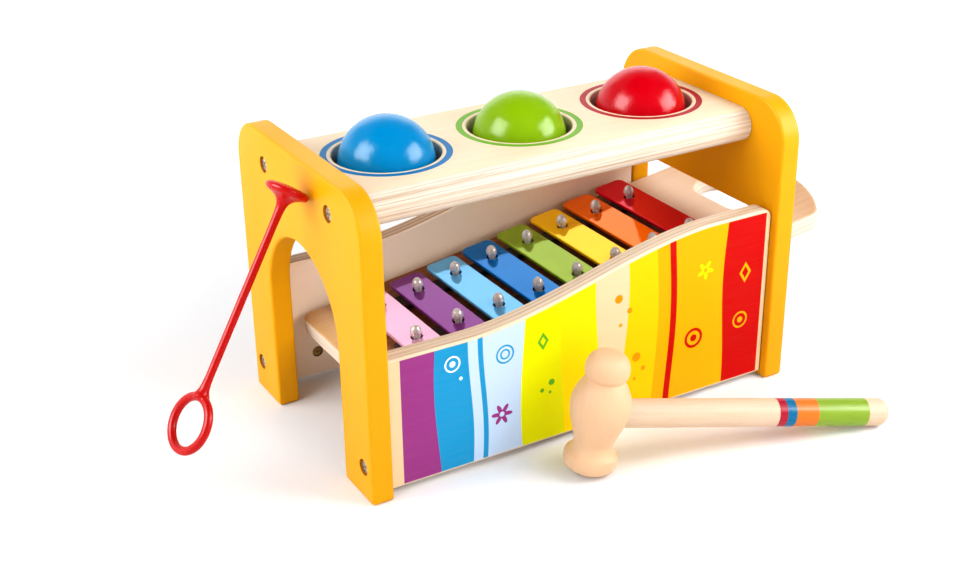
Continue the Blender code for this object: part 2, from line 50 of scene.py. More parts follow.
# ---------------------------------------------------------------- dimensions
LENGTH, DEPTH, HEIGHT, END_T = 232.5, 132.0, 144.5, 10.6
END_ROUND, ARCH_HALF, ARCH_SPRING = 20.0, 37.5, 65.0
SLOT_Y, SLOT_TOP, SLOT_R = 13.7, 87.2, 7.0
TOP_Z, TOP_T, TOP_Y0, TOP_Y1 = 136.5, 17.0, 23.0, 109.0
HOLE_R, LEDGE_R, LEDGE_T = 25.0, 23.3, 2.4
BALL_R, BALL_PITCH, BALL_Z = 22.5, 70.25, (131.4, 130.0, 130.2)
SIDE_T, SIDE_Y, SIDE_Z0, SIDE_LOW, SIDE_HIGH = 9.5, 3.8, 3.0, 68.0, 92.6
WAVE_X0, WAVE_X1, SIDE_CORNER_R = 50.0, 190.0, 5.0
BORE_R, BORE_DEPTH, LOW_SCREW_Z, TOP_SCREW_DY, TOP_SCREW_Z = 3.9, 3.5, 16.0, 34.5, 128.8
NUT_INSET, GAP = 17.5, 0.3
SLOPE = math.radians(8.3)
BOARD_X, BOARD_Z, BOARD_LEN, BOARD_HALF, BOARD_T, BOARD_R = 18.3, 41.0, 267.0, 49.0, 9.5, 6.0
BOARD_END_R, BOARD_CORNER_R = 73.5, 10.0
HAND_U, HAND_R, HAND_HALF = 231.5, 12.0, 23.0
BAR_U0, BAR_PITCH, BAR_W, BAR_T, BAR_TOP, BAR_R = 31.2, 21.97, 17.6, 2.0, 5.44, 3.5
PIN_HALF_0, PIN_HALF_STEP, BAR_NODE = 18.95, 1.033, 0.552
CUSHION_T, CUSHION_W = 2.85, 11.0
REST_W, REST_T, REST_U0, REST_U1 = 7.0, 7.0, 16.0, 200.0
HAM_X, HAM_Y, HAM_YAW = 97.6, -24.3, math.radians(-15.1)
HAM_R, HAM_L, HAM_SEAT, HAM_FLAT_R = 6.75, 147.0, 28.2, 8.8
BEAT_X, BEAT_Y, BEAT_Z = -67.5, 34.9, 46.1
BEAT_DIR, BEAT_RING = (0.547, 0.154, 0.823), (0.202, -0.978, 0.049)
BEAT_RM, BEAT_RT, BEAT_STEM_R, BEAT_LEN, BEAT_HEAD_R = 11.95, 2.05, 1.85, 107.0, 9.85

MID_Y = DEPTH / 2
BALL_X = [LENGTH / 2 + BALL_PITCH * k for k in (-1, 0, 1)]
BACK_Y = DEPTH - SIDE_Y - SIDE_T
FRONT_MID = SIDE_Y + SIDE_T / 2
BACK_MID = DEPTH - FRONT_MID
BARS = ["pink", "purple", "sky", "blue", "green", "yellow", "orange", "red"]
BALLS = ["blue", "green", "red"]
RAMP = Matrix.Translation(Vector((BOARD_X, MID_Y, BOARD_Z)) * MM) @ Matrix.Rotation(-SLOPE, 4, "Y")
XYLO = BENCH @ RAMP


def pin_half(i):
    return PIN_HALF_0 + PIN_HALF_STEP * i


def wave(x):
    t = min(1.0, max(0.0, (x - WAVE_X0) / (WAVE_X1 - WAVE_X0)))
    return SIDE_LOW + (SIDE_HIGH - SIDE_LOW) * t * t * (3.0 - 2.0 * t)


# ------------------------------------------------------------------ materials
def srgb(r, g, b):
    def lin(c):
        c /= 255.0
        return c / 12.92 if c <= 0.04045 else ((c + 0.055) / 1.055) ** 2.4
    return (lin(r), lin(g), lin(b), 1.0)


class Mat:
    """A material and short names for the nodes that make up its pattern."""

    def __init__(self, name, rough=0.5, spec=0.5, metal=0.0, turned=False):
        self.m = bpy.data.materials.new(name)
        self.m.use_nodes = True
        self.t = self.m.node_tree
        self.b = self.t.nodes["Principled BSDF"]
        self.set("Roughness", rough)
        self.set("Specular IOR Level", spec)
        self.set("Metallic", metal)
        if turned:                                             # the piece's own axes, kept on its mesh
            own = self.t.nodes.new("ShaderNodeAttribute")
            own.attribute_name = "own_axes"
            src = own.outputs["Vector"]
        else:
            src = self.t.nodes.new("ShaderNodeTexCoord").outputs["Object"]
        self.pos = self.vec("MULTIPLY", src, (1000.0, 1000.0, 1000.0))          # millimetres
        sep = self.t.nodes.new("ShaderNodeSeparateXYZ")
        self.t.links.new(self.pos, sep.inputs[0])
        self.x, self.y, self.z = sep.outputs

    def set(self, name, value):
        """A value or a socket on the shader's own input."""
        self.put(self.b.inputs[name], value)

    def put(self, sock, value):
        if isinstance(value, bpy.types.NodeSocket):
            self.t.links.new(value, sock)
        else:
            sock.default_value = value

    def vec(self, op, a, b):
        n = self.t.nodes.new("ShaderNodeVectorMath")
        n.operation = op
        self.put(n.inputs[0], a)
        self.put(n.inputs[1], b)
        return n.outputs[0]

    def xyz(self, x, y, z):
        n = self.t.nodes.new("ShaderNodeCombineXYZ")
        for s, v in zip(n.inputs, (x, y, z)):
            self.put(s, v)
        return n.outputs[0]

    def f(self, op, a, b=0.0, c=0.0):
        n = self.t.nodes.new("ShaderNodeMath")
        n.operation = op
        for s, v in zip(n.inputs, (a, b, c)):
            self.put(s, v)
        return n.outputs[0]

    def add(self, a, b):
        return self.f("ADD", a, b)

    def sub(self, a, b):
        return self.f("SUBTRACT", a, b)

    def mul(self, a, b):
        return self.f("MULTIPLY", a, b)

    def clamp(self, a):
        n = self.t.nodes.new("ShaderNodeClamp")
        self.put(n.inputs[0], a)
        return n.outputs[0]

    def step(self, x, a, b, lo=0.0, hi=1.0):
        n = self.t.nodes.new("ShaderNodeMapRange")
        n.interpolation_type = "SMOOTHSTEP"
        for s, v in zip(n.inputs, (x, a, b, lo, hi)):
            self.put(s, v)
        return n.outputs[0]

    def noise(self, vec, scale, detail=3.0, rough=0.55, warp=0.0):
        n = self.t.nodes.new("ShaderNodeTexNoise")
        self.put(n.inputs["Vector"], vec)
        n.inputs["Scale"].default_value = scale
        n.inputs["Detail"].default_value = detail
        n.inputs["Roughness"].default_value = rough
        n.inputs["Distortion"].default_value = warp
        return n.outputs[0]

    def mix(self, fac, a, b, mode="MIX"):
        n = self.t.nodes.new("ShaderNodeMix")
        n.data_type = "RGBA"
        n.blend_type = mode
        self.put(n.inputs[0], fac)
        self.put(n.inputs[6], a)
        self.put(n.inputs[7], b)
        return n.outputs[2]

    def bump(self, height, strength, distance):
        n = self.t.nodes.new("ShaderNodeBump")
        n.inputs["Strength"].default_value = strength
        n.inputs["Distance"].default_value = distance * MM
        self.put(n.inputs["Height"], height)
        self.put(self.b.inputs["Normal"], n.outputs[0])
        return n.outputs[0]


def wood_tone(m, g, c1, c2, light, mid, dark, strength=1.0):
    """Fine-grained pale wood: g along the grain, c1 and c2 across it (mm)."""
    v = m.xyz(m.mul(g, 0.05), c1, c2)
    streak = m.noise(v, 0.55, 5.0, 0.62, 0.4)
    broad = m.noise(m.xyz(m.mul(g, 0.12), c1, c2), 0.055, 2.0, 0.5, 0.8)
    col = m.mix(m.step(streak, 0.38, 0.72, 0.0, 0.62 * strength), light, mid)
    col = m.mix(m.step(broad, 0.40, 0.75, 0.0, 0.42 * strength), col, mid)
    fleck = m.noise(m.xyz(m.mul(g, 0.10), c1, c2), 2.6, 2.0, 0.5)
    col = m.mix(m.step(fleck, 0.62, 0.74, 0.0, 0.40 * strength), col, dark)
    return col, streak, fleck


PLY_LIGHT, PLY_MID, PLY_DARK = srgb(230, 209, 180), srgb(221, 195, 162), srgb(200, 166, 128)
PALE_EDGE = srgb(222, 210, 195), srgb(208, 189, 168), srgb(172, 138, 108)
# darker tan rims for the back panel: painted shade from the top board above them
TAN_EDGE_PAINTED_SHADE = srgb(196, 164, 134), srgb(172, 136, 104), srgb(122, 88, 64)
# pale pink tones for the back panel's inner face: paler than its wood, painted light standing in for the light that
# reaches it
PINK_LIGHT, PINK_MID, PINK_DARK = srgb(251, 233, 214), srgb(247, 225, 204), srgb(236, 210, 186)


def ply_colour(m, g, c1, through, thickness, plies, tones, rims, grain=0.6, lines=1.0):
    """Solid plywood: through is the coordinate across the veneers (mm from one face)."""
    face, streak, fleck = wood_tone(m, g, c1, through, *tones, grain)
    pale, tan, line = rims
    slow = m.xyz(m.mul(g, 0.03), m.mul(c1, 0.03), 0.0)
    wob = m.noise(slow, 1.0, 3.0, 0.6)
    k = m.mul(m.f("MULTIPLY_ADD", m.sub(wob, 0.5), 0.9, through), plies / thickness)
    odd = m.f("PINGPONG", k, 1.0)
    frac = m.f("FRACT", m.add(k, 8.0))
    near = m.f("MINIMUM", frac, m.sub(1.0, frac))
    along = m.noise(m.xyz(m.mul(g, 0.018), m.mul(c1, 0.018), m.mul(through, 1.5)), 1.0, 5.0, 0.68)
    thread = m.noise(m.xyz(m.mul(g, 0.05), m.mul(c1, 0.05), m.mul(through, 4.2)), 1.0, 3.0, 0.6)
    edge = m.mix(m.mul(m.step(odd, 0.35, 0.65), 0.45 + 0.4 * lines), pale, tan)
    edge = m.mix(m.step(thread, 0.52, 0.72, 0.0, 0.6 * lines), edge, tan)
    edge = m.mix(m.step(along, 0.50, 0.66, 0.0, 0.65 * lines), edge, line)
    glue = m.mul(m.step(near, 0.02, 0.09, 1.0, 0.0), m.step(along, 0.30, 0.60, 0.15, 0.85 * lines))
    edge = m.mix(glue, edge, line)
    # outer veneers show their face, the rest of the thickness its edge
    rim = m.f("MINIMUM", through, m.sub(thickness, through))
    depth = 0.55 * thickness / plies
    return m.mix(m.step(rim, depth * 0.5, depth), face, edge), streak, fleck


def ply_finish(m, streak, fleck):
    m.set("Roughness", m.step(streak, 0.3, 0.7, 0.42, 0.54))
    m.bump(m.f("MULTIPLY_ADD", fleck, -0.6, m.mul(streak, 0.5)), 0.12, 0.10)


def mat_ply(name, axes, lo, thickness, plies, tones, rims, grain=0.6, lines=1.0, turned=False, shade=None):
    """axes names the coordinates (grain, across, through)."""
    m = Mat(name, 0.45, 0.14, turned=turned)
    pick = {"x": m.x, "y": m.y, "z": m.z}
    through = m.sub(pick[axes[2]], lo)
    col, streak, fleck = ply_colour(m, pick[axes[0]], pick[axes[1]], through, thickness, plies, tones, rims, grain, lines)
    if shade:          # painted light and shade on the board's top: a golden low end stands in for yellow light thrown onto it by the end panel, and a darker middle under the bars and a darker far end are painted shade
        u0, u1, u2, u3, tone = shade
        # painted bounce light: golden tint at the low end of the face
        low = m.mul(m.step(m.x, 0.0, 30.0, 0.75, 0.0), m.step(through, thickness - 0.9, thickness - 0.4))
        col = m.mix(low, col, m.mix(m.step(streak, 0.3, 0.75), srgb(198, 150, 80), srgb(178, 128, 62)))
        # painted shade: the face between and under the bars darkened and reddened
        on = m.mul(m.mul(m.step(m.x, u0, u1), m.step(m.x, u2, u3, 1.0, 0.0)), m.step(through, thickness - 0.5, thickness - 0.2))
        col = m.mix(on, col, m.mix(m.step(streak, 0.3, 0.75), tone, srgb(120, 72, 44)))
        # painted shade on the far end that reaches out past the right panel
        painted_end_shade = m.mul(m.step(m.x, 200.0, 256.0, 0.0, 0.8), m.step(through, thickness - 1.2, thickness - 0.6))
        col = m.mix(painted_end_shade, col, m.mix(m.step(streak, 0.3, 0.75), srgb(200, 160, 120), srgb(188, 146, 106)))
    m.set("Base Color", col)
    ply_finish(m, streak, fleck)
    return m.m


def mat_top_board():
    m = Mat("top_board_ply_with_rings", 0.45, 0.14)
    col, streak, fleck = ply_colour(m, m.x, m.y, m.sub(m.z, TOP_Z - TOP_T), TOP_T, 9.0, (PLY_LIGHT, PLY_MID, PLY_DARK), PALE_EDGE, 0.6, 0.8)
    tone = m.step(streak, 0.3, 0.75, 0.0, 0.16)
    top = m.step(m.z, TOP_Z - 0.12, TOP_Z - 0.06)
    for bx, rgb, dark in zip(BALL_X, (srgb(4, 112, 170), srgb(112, 166, 42), srgb(164, 16, 36)),
                             (srgb(24, 126, 182), srgb(128, 178, 62), srgb(176, 34, 52))):
        dx = m.sub(m.x, bx)
        dy = m.sub(m.y, MID_Y)
        r = m.f("SQRT", m.f("MULTIPLY_ADD", dx, dx, m.mul(dy, dy)))
        ring = m.mul(m.step(r, 26.95, 27.1), m.step(r, 30.0, 30.15, 1.0, 0.0))
        col = m.mix(m.mul(ring, top), col, m.mix(tone, rgb, dark))
    m.set("Base Color", col)
    ply_finish(m, streak, fleck)
    return m.m


def mat_paint(name, base, deep, rough=0.42):
    """Sprayed satin paint over wood: faint orange peel and a hint of grain."""
    m = Mat(name, rough, 0.13)
    cloud = m.noise(m.pos, 0.02, 3.0, 0.55)
    fine = m.noise(m.pos, 0.9, 2.0, 0.5)
    peel = m.noise(m.pos, 0.42, 2.0, 0.5)
    col = m.mix(m.step(cloud, 0.3, 0.75, 0.0, 0.30), base, deep)
    col = m.mix(m.step(fine, 0.62, 0.80, 0.0, 0.12), col, deep)
    m.set("Base Color", col)
    m.set("Roughness", m.step(cloud, 0.3, 0.7, rough - 0.04, rough + 0.05))
    m.bump(m.f("MULTIPLY_ADD", fine, 0.25, peel), 0.10, 0.10)
    return m.m


def mat_ball(name, base, deep):
    """Lacquered turned ball: fine lathe streaks soften the reflections."""
    m = Mat(name, 0.10, 0.19)
    streak = m.noise(m.xyz(m.mul(m.x, 0.62), m.mul(m.y, 0.62), m.mul(m.z, 0.11)), 1.0, 4.0, 0.6)
    speck = m.noise(m.pos, 1.6, 2.0, 0.6)
    cloud = m.noise(m.pos, 0.05, 2.0, 0.5)
    m.set("Base Color", m.mix(m.step(cloud, 0.35, 0.7, 0.0, 0.4), base, deep))
    m.set("Roughness", m.f("MULTIPLY_ADD", m.step(streak, 0.35, 0.7), 0.06, m.step(speck, 0.4, 0.8, 0.07, 0.13)))
    m.bump(m.f("MULTIPLY_ADD", speck, 0.4, streak), 0.6, 0.20)
    return m.m


def mat_bar(name, base, deep):
    """Metal under clear tinted lacquer: very smooth, with a long soft waviness."""
    m = Mat(name, 0.06, 0.20, 0.42)
    soft = m.noise(m.pos, 0.07, 2.0, 0.5)
    fine = m.noise(m.pos, 1.4, 2.0, 0.5)
    m.set("Base Color", m.mix(m.step(soft, 0.35, 0.7, 0.0, 0.35), base, deep))
    m.set("Roughness", m.step(fine, 0.3, 0.8, 0.04, 0.08))
    m.bump(m.f("MULTIPLY_ADD", fine, 0.03, soft), 0.10, 0.35)
    return m.m


def mat_pearl():
    m = Mat("pearl_grey_plastic", 0.28, 0.6, 0.15)
    n = m.noise(m.xyz(m.x, m.y, m.mul(m.z, 0.25)), 0.9, 3.0, 0.6)
    sp = m.noise(m.pos, 4.0, 2.0, 0.6)
    col = m.mix(m.step(n, 0.35, 0.7), srgb(206, 200, 200), srgb(172, 164, 164))
    col = m.mix(m.step(sp, 0.6, 0.75, 0.0, 0.4), col, srgb(236, 232, 230))
    m.set("Base Color", col)
    m.set("Roughness", m.step(sp, 0.4, 0.7, 0.22, 0.34))
    m.bump(sp, 0.08, 0.05)
    m.set("Coat Weight", 0.6)
    m.set("Coat Roughness", 0.05)
    return m.m


def mat_plastic():
    m = Mat("red_plastic", 0.32, 0.22, turned=True)
    n = m.noise(m.pos, 0.08, 2.0, 0.5)
    fine = m.noise(m.pos, 2.0, 2.0, 0.6)
    m.set("Base Color", m.mix(m.step(n, 0.3, 0.7, 0.0, 0.5), srgb(188, 16, 14), srgb(178, 10, 10)))
    m.set("Roughness", m.step(fine, 0.3, 0.75, 0.24, 0.34))
    m.bump(fine, 0.06, 0.05)
    return m.m


WOOD_LIGHT, WOOD_MID, WOOD_DARK = srgb(223, 184, 148), srgb(217, 176, 138), srgb(202, 156, 114)


def mat_turned(name, axis, turned):
    """Close-grained turned wood; the grain runs along the named axis."""
    m = Mat(name, 0.46, 0.12, turned=turned)
    o = {"x": (m.x, m.y, m.z), "z": (m.z, m.x, m.y)}[axis]
    col, streak, fleck = wood_tone(m, o[0], o[1], o[2], WOOD_LIGHT, WOOD_MID, WOOD_DARK, 0.45)
    m.set("Base Color", col)
    m.set("Roughness", m.step(streak, 0.3, 0.7, 0.42, 0.52))
    m.bump(m.f("MULTIPLY_ADD", fleck, -0.5, m.mul(streak, 0.4)), 0.12, 0.10)
    return m.m


def mat_handle():
    m = Mat("handle_wood_with_bands", 0.40, 0.08, turned=True)
    # the wood tone is paler and cooler than the head's, partly the handle's own wood and partly painted sheen
    col, streak, fleck = wood_tone(m, m.x, m.y, m.z, srgb(218, 191, 166), srgb(210, 178, 147), srgb(186, 146, 112), 0.9)
    edge = m.f("MULTIPLY_ADD", m.sub(m.noise(m.pos, 0.6, 2.0, 0.5), 0.5), 0.25, m.x)
    for a, b, rgb in ((87.75, 91.9, srgb(168, 24, 48)), (91.9, 96.65, srgb(0, 108, 150)),
                      (96.65, 108.3, srgb(214, 116, 38)), (108.3, 135.1, srgb(134, 162, 50))):
        band = m.mul(m.step(edge, a - 0.08, a + 0.08), m.step(edge, b - 0.08, b + 0.08, 1.0, 0.0))
        col = m.mix(band, col, rgb)
    m.set("Base Color", col)
    painted = m.mul(m.step(edge, 87.65, 87.85), m.step(edge, 135.0, 135.2, 1.0, 0.0))
    m.set("Roughness", m.f("MULTIPLY_ADD", painted, -0.16, m.step(streak, 0.3, 0.7, 0.40, 0.48)))
    m.set("Specular IOR Level", m.f("MULTIPLY_ADD", painted, 0.10, 0.12))
    m.bump(m.f("MULTIPLY_ADD", fleck, -0.5, m.mul(streak, 0.4)), 0.12, 0.10)
    return m.m


def mat_steel(name, light, dark, rough, metal=1.0):
    m = Mat(name, rough, 0.5, metal)
    r = m.f("SQRT", m.f("MULTIPLY_ADD", m.x, m.x, m.mul(m.y, m.y)))
    turn = m.noise(m.xyz(m.mul(r, 6.0), 0.0, m.mul(m.z, 3.0)), 1.0, 3.0, 0.6)
    spot = m.noise(m.pos, 0.8, 3.0, 0.6)
    m.set("Base Color", m.mix(m.step(spot, 0.3, 0.75), light, dark))
    m.set("Roughness", m.f("MULTIPLY_ADD", m.step(turn, 0.35, 0.7), 0.10, rough - 0.03))
    m.bump(turn, 0.12, 0.04)
    return m.m


def mat_matte(name, base, deep, rough, grain, strength):
    """Rubber, foam and raw fibreboard."""
    m = Mat(name, rough, 0.25)
    n = m.noise(m.pos, grain, 4.0, 0.65)
    m.set("Base Color", m.mix(m.step(n, 0.35, 0.68), base, deep))
    m.set("Roughness", m.step(n, 0.3, 0.7, rough - 0.06, min(1.0, rough + 0.05)))
    m.bump(n, strength, 0.25)
    return m.m


def mat_print():
    """Printed bands and small motifs on the front panel's face (x along, z up)."""
    m = Mat("front_print", 0.40, 0.06)
    bare, streak, fleck = wood_tone(m, m.x, m.z, m.y, srgb(228, 200, 160), srgb(222, 192, 150), srgb(206, 170, 126), 0.5)
    x, z = m.x, m.z

    def border(x0, amp, length, phase):
        return m.sub(x, m.f("MULTIPLY_ADD", m.f("SINE", m.f("MULTIPLY_ADD", z, 2 * math.pi / length, phase)), amp, x0))

    def after(x0, amp=0.0, length=100.0, phase=0.0):
        d = border(x0, amp, length, phase) if amp else m.sub(x, x0)
        return m.step(d, -0.06, 0.06)

    purple, blue, pale = srgb(150, 62, 130), srgb(36, 148, 196), srgb(190, 211, 237)
    lime, yellow, amber, red = srgb(222, 224, 0), srgb(250, 216, 0), srgb(244, 168, 0), srgb(190, 4, 2)
    gold = srgb(244, 194, 0)
    col = bare
    ink = after(17.5)
    for x0, amp, length, phase, rgb in (
            (17.5, 0.0, 1.0, 0.0, purple), (35.5, 1.7, 118.0, 2.2, blue), (52.6, 1.3, 96.0, 0.4, pale),
            (80.2, 1.5, 124.0, 3.4, lime), (101.5, 1.2, 88.0, 1.2, yellow)):
        col = m.mix(after(x0, amp, length, phase), col, rgb)
    gap0, gap1 = after(120.5, 1.4, 110.0, 0.2), after(136.6, 1.6, 102.0, 3.7)
    col = m.mix(gap0, col, bare)
    for x0, amp, length, phase, rgb in (
            (136.6, 1.6, 102.0, 3.7, gold), (154.0, 1.5, 120.0, 5.2, amber), (195.0, 1.3, 104.0, 1.0, red)):
        col = m.mix(after(x0, amp, length, phase), col, rgb)
    end = after(218.5)
    # narrow lines that follow their band
    for x0, w, amp, length, phase, rgb in ((57.6, 2.6, 1.3, 96.0, 0.4, blue), (161.2, 3.6, 1.5, 120.0, 5.2, red)):
        col = m.mix(m.mul(after(x0, amp, length, phase), m.sub(1.0, after(x0 + w, amp, length, phase))), col, rgb)
    col = m.mix(end, col, bare)

    def polar(cx, cz):
        dx, dz = m.sub(x, cx), m.sub(z, cz)
        return m.f("SQRT", m.f("MULTIPLY_ADD", dx, dx, m.mul(dz, dz))), m.f("ARCTAN2", dz, dx)

    def dot(cx, cz, r):
        d, _ = polar(cx, cz)
        return m.step(d, r - 0.07, r + 0.07, 1.0, 0.0)

    def hoop(cx, cz, r, w):
        d, _ = polar(cx, cz)
        return m.step(m.f("ABSOLUTE", m.sub(d, r)), w - 0.06, w + 0.06, 1.0, 0.0)

    def petals(cx, cz, r, n, turn, deep=0.30):
        d, a = polar(cx, cz)
        lim = m.f("MULTIPLY_ADD", m.f("COSINE", m.f("MULTIPLY_ADD", a, float(n), turn)), deep * r, (1.0 - deep) * r)
        return m.step(m.sub(d, lim), -0.07, 0.07, 1.0, 0.0)

    def lozenge(cx, cz, w, h):
        d = m.add(m.mul(m.f("ABSOLUTE", m.sub(x, cx)), 1.0 / w), m.mul(m.f("ABSOLUTE", m.sub(z, cz)), 1.0 / h))
        return m.step(d, 1.0 - 0.08 / w, 1.0 + 0.08 / w, 1.0, 0.0)

    white, leaf, rust = srgb(238, 246, 252), srgb(96, 168, 38), srgb(240, 146, 0)
    for mask, rgb in (
            (hoop(43.4, 57.5, 3.6, 0.42), white), (dot(43.4, 57.5, 1.5), white), (dot(47.5, 49.3, 0.9), white),
            (petals(68.6, 24.5, 5.6, 6, 0.5), purple), (dot(68.6, 24.5, 1.3), pale),
            (hoop(70.4, 55.0, 4.3, 0.45), blue), (hoop(70.4, 55.0, 2.2, 0.42), blue),
            (lozenge(90.6, 56.0, 3.0, 4.6), leaf), (lozenge(90.6, 56.0, 1.5, 2.3), lime),
            (dot(95.4, 33.5, 1.6), leaf), (dot(90.2, 30.4, 1.1), leaf), (dot(94.6, 28.4, 0.8), leaf),
            (dot(132.2, 66.5, 2.2), rust), (dot(138.6, 59.0, 1.5), rust), (dot(133.6, 52.6, 1.0), rust),
            (dot(143.4, 33.0, 2.4), rust), (dot(147.6, 26.0, 1.3), rust), (dot(142.6, 21.4, 0.9), rust),
            (hoop(177.4, 34.0, 4.6, 0.75), red), (dot(177.4, 34.0, 1.9), red),
            (petals(182.6, 69.0, 5.0, 5, 1.1), yellow), (dot(182.6, 69.0, 1.2), amber),
            (lozenge(207.4, 62.0, 3.6, 5.6), amber), (lozenge(207.4, 62.0, 2.0, 3.2), red),
            (hoop(206.0, 36.5, 4.0, 0.5), amber), (dot(206.0, 36.5, 1.6), amber)):
        col = m.mix(mask, col, rgb)
    # ink sits inside the rounded edges
    top = m.sub(SIDE_LOW - 1.5, z)
    t = m.clamp(m.mul(m.sub(x, WAVE_X0), 1.0 / (WAVE_X1 - WAVE_X0)))
    s = m.mul(m.mul(t, t), m.f("MULTIPLY_ADD", t, -2.0, 3.0))
    top = m.f("MULTIPLY_ADD", s, SIDE_HIGH - SIDE_LOW, top)
    ink = m.mul(m.mul(ink, m.sub(1.0, end)), m.step(top, -0.05, 0.07))
    open_wood = m.mul(gap0, m.sub(1.0, gap1))
    covered = m.mul(ink, m.sub(1.0, open_wood))
    col = m.mix(m.mul(covered, m.step(streak, 0.35, 0.75, 0.0, 0.02)), col, PLY_DARK)
    m.set("Base Color", m.mix(ink, bare, col))
    m.set("Roughness", m.f("MULTIPLY_ADD", covered, -0.10, m.step(streak, 0.3, 0.7, 0.40, 0.48)))
    m.bump(m.mul(m.f("MULTIPLY_ADD", fleck, -0.5, m.mul(streak, 0.4)), m.f("MULTIPLY_ADD", covered, -0.7, 1.0)), 0.09, 0.10)
    return m.m


YELLOW = mat_paint("yellow_paint", srgb(226, 159, 5), srgb(220, 151, 3))
RAW = mat_matte("raw_ply_bore", srgb(150, 104, 54), srgb(112, 74, 36), 0.8, 1.2, 0.3)
# yellow overspray in the screw bores, darker and more orange than the paint as painted shade of the recess
BORE = mat_matte("oversprayed_bore_painted_shade", srgb(186, 114, 18), srgb(140, 80, 18), 0.7, 1.2, 0.3)
PLY_SIDE = mat_ply("side_ply_front", "xzy", SIDE_Y, SIDE_T, 7.0, (PLY_LIGHT, PLY_MID, PLY_DARK),
                   (srgb(230, 215, 197), srgb(214, 191, 165), srgb(172, 132, 98)), 0.6, 1.0)
PLY_BACK_PAINTED_LIGHT = mat_ply("side_ply_back_painted_light", "xzy", BACK_Y, SIDE_T, 7.0, (PINK_LIGHT, PINK_MID, PINK_DARK), TAN_EDGE_PAINTED_SHADE, 0.22, 1.0)
PLY_REAR = mat_ply("side_ply_rear", "xzy", BACK_Y, SIDE_T, 7.0, (srgb(214, 184, 146), srgb(203, 169, 128), srgb(182, 144, 102)), TAN_EDGE_PAINTED_SHADE, 1.0, 1.0)
# the last argument paints a golden bounce at the low end and painted shade under the bars and at the far end
PLY_BOARD = mat_ply("board_ply", "xyz", -BOARD_T, BOARD_T, 7.0, (srgb(236, 210, 184), srgb(228, 198, 169), srgb(212, 178, 147)), PALE_EDGE, 0.5, 0.25, True,
                    (8.0, 22.0, 172.0, 206.0, srgb(150, 92, 56)))
PLY_TOP = mat_top_board()
PRINT = mat_print()
PEARL = mat_pearl()
PLASTIC = mat_plastic()
HEAD_WOOD = mat_turned("head_wood", "z", True)
STRIP_WOOD = mat_turned("strip_wood", "x", False)
HANDLE = mat_handle()
STEEL = mat_steel("plated_steel", srgb(214, 208, 198), srgb(182, 175, 164), 0.26, 0.80)
BRASS = mat_steel("brassy_nut", srgb(166, 136, 84), srgb(120, 96, 58), 0.34)
RUBBER = mat_matte("grip_rubber", srgb(52, 50, 50), srgb(38, 36, 36), 0.75, 1.4, 0.2)
FOAM = mat_matte("dark_felt", srgb(66, 46, 36), srgb(46, 32, 26), 0.95, 3.0, 0.5)
BALL_MATS = {
    "blue": mat_ball("ball_blue", srgb(0, 130, 186), srgb(0, 124, 180)),
    "green": mat_ball("ball_green", srgb(130, 168, 14), srgb(124, 162, 12)),
    "red": mat_ball("ball_red", srgb(188, 0, 22), srgb(180, 0, 20)),
}
BAR_MATS = {
    "pink": mat_bar("bar_pink", srgb(216, 166, 192), srgb(210, 158, 186)),
    "purple": mat_bar("bar_purple", srgb(130, 62, 134), srgb(121, 55, 127)),
    "sky": mat_bar("bar_sky", srgb(112, 182, 228), srgb(102, 174, 220)),
    "blue": mat_bar("bar_blue", srgb(0, 116, 190), srgb(0, 108, 180)),
    "green": mat_bar("bar_green", srgb(148, 174, 48), srgb(138, 164, 42)),
    "yellow": mat_bar("bar_yellow", srgb(255, 204, 0), srgb(252, 197, 0)),
    "orange": mat_bar("bar_orange", srgb(250, 122, 4), srgb(246, 112, 0)),
    "red": mat_bar("bar_red", srgb(222, 20, 46), srgb(212, 16, 42)),
}


# --------------------------------------------------------------------- meshes
def arc(cx, cy, r, a0, a1, n):
    return [(cx + r * math.cos(math.radians(a0 + (a1 - a0) * k / n)),
             cy + r * math.sin(math.radians(a0 + (a1 - a0) * k / n))) for k in range(n + 1)]


def inset(points, d):
    out = []
    n = len(points)
    for i in range(n):
        p, c, q = points[i - 1], points[i], points[(i + 1) % n]
        a = Vector((c[0] - p[0], c[1] - p[1])).normalized()
        b = Vector((q[0] - c[0], q[1] - c[1])).normalized()
        na, nb = Vector((-a.y, a.x)), Vector((-b.y, b.x))
        s = (na + nb) / (1.0 + na.dot(nb))
        out.append((c[0] + s.x * d, c[1] + s.y * d))
    return out


def quarter(edge, seg):
    """(inset, depth) from a face's flat part round to its side."""
    return [(edge * (1 - math.sin(0.5 * math.pi * k / seg)), edge * (1 - math.cos(0.5 * math.pi * k / seg)))
            for k in range(seg + 1)]


def bridge(bm, a, b, mat):
    n = len(a)
    for i in range(n):
        j = (i + 1) % n
        bm.faces.new((a[i], a[j], b[j], b[i])).material_index = mat


def loop_edges(bm, loop):
    return [bm.edges.get((loop[i - 1], loop[i])) or bm.edges.new((loop[i - 1], loop[i])) for i in range(len(loop))]


def fill(bm, loops, mat):
    edges = [e for lp in loops for e in loop_edges(bm, lp)]
    made = bmesh.ops.triangle_fill(bm, use_beauty=True, use_dissolve=False, edges=edges)
    for g in made["geom"]:
        if isinstance(g, bmesh.types.BMFace):
            g.material_index = mat


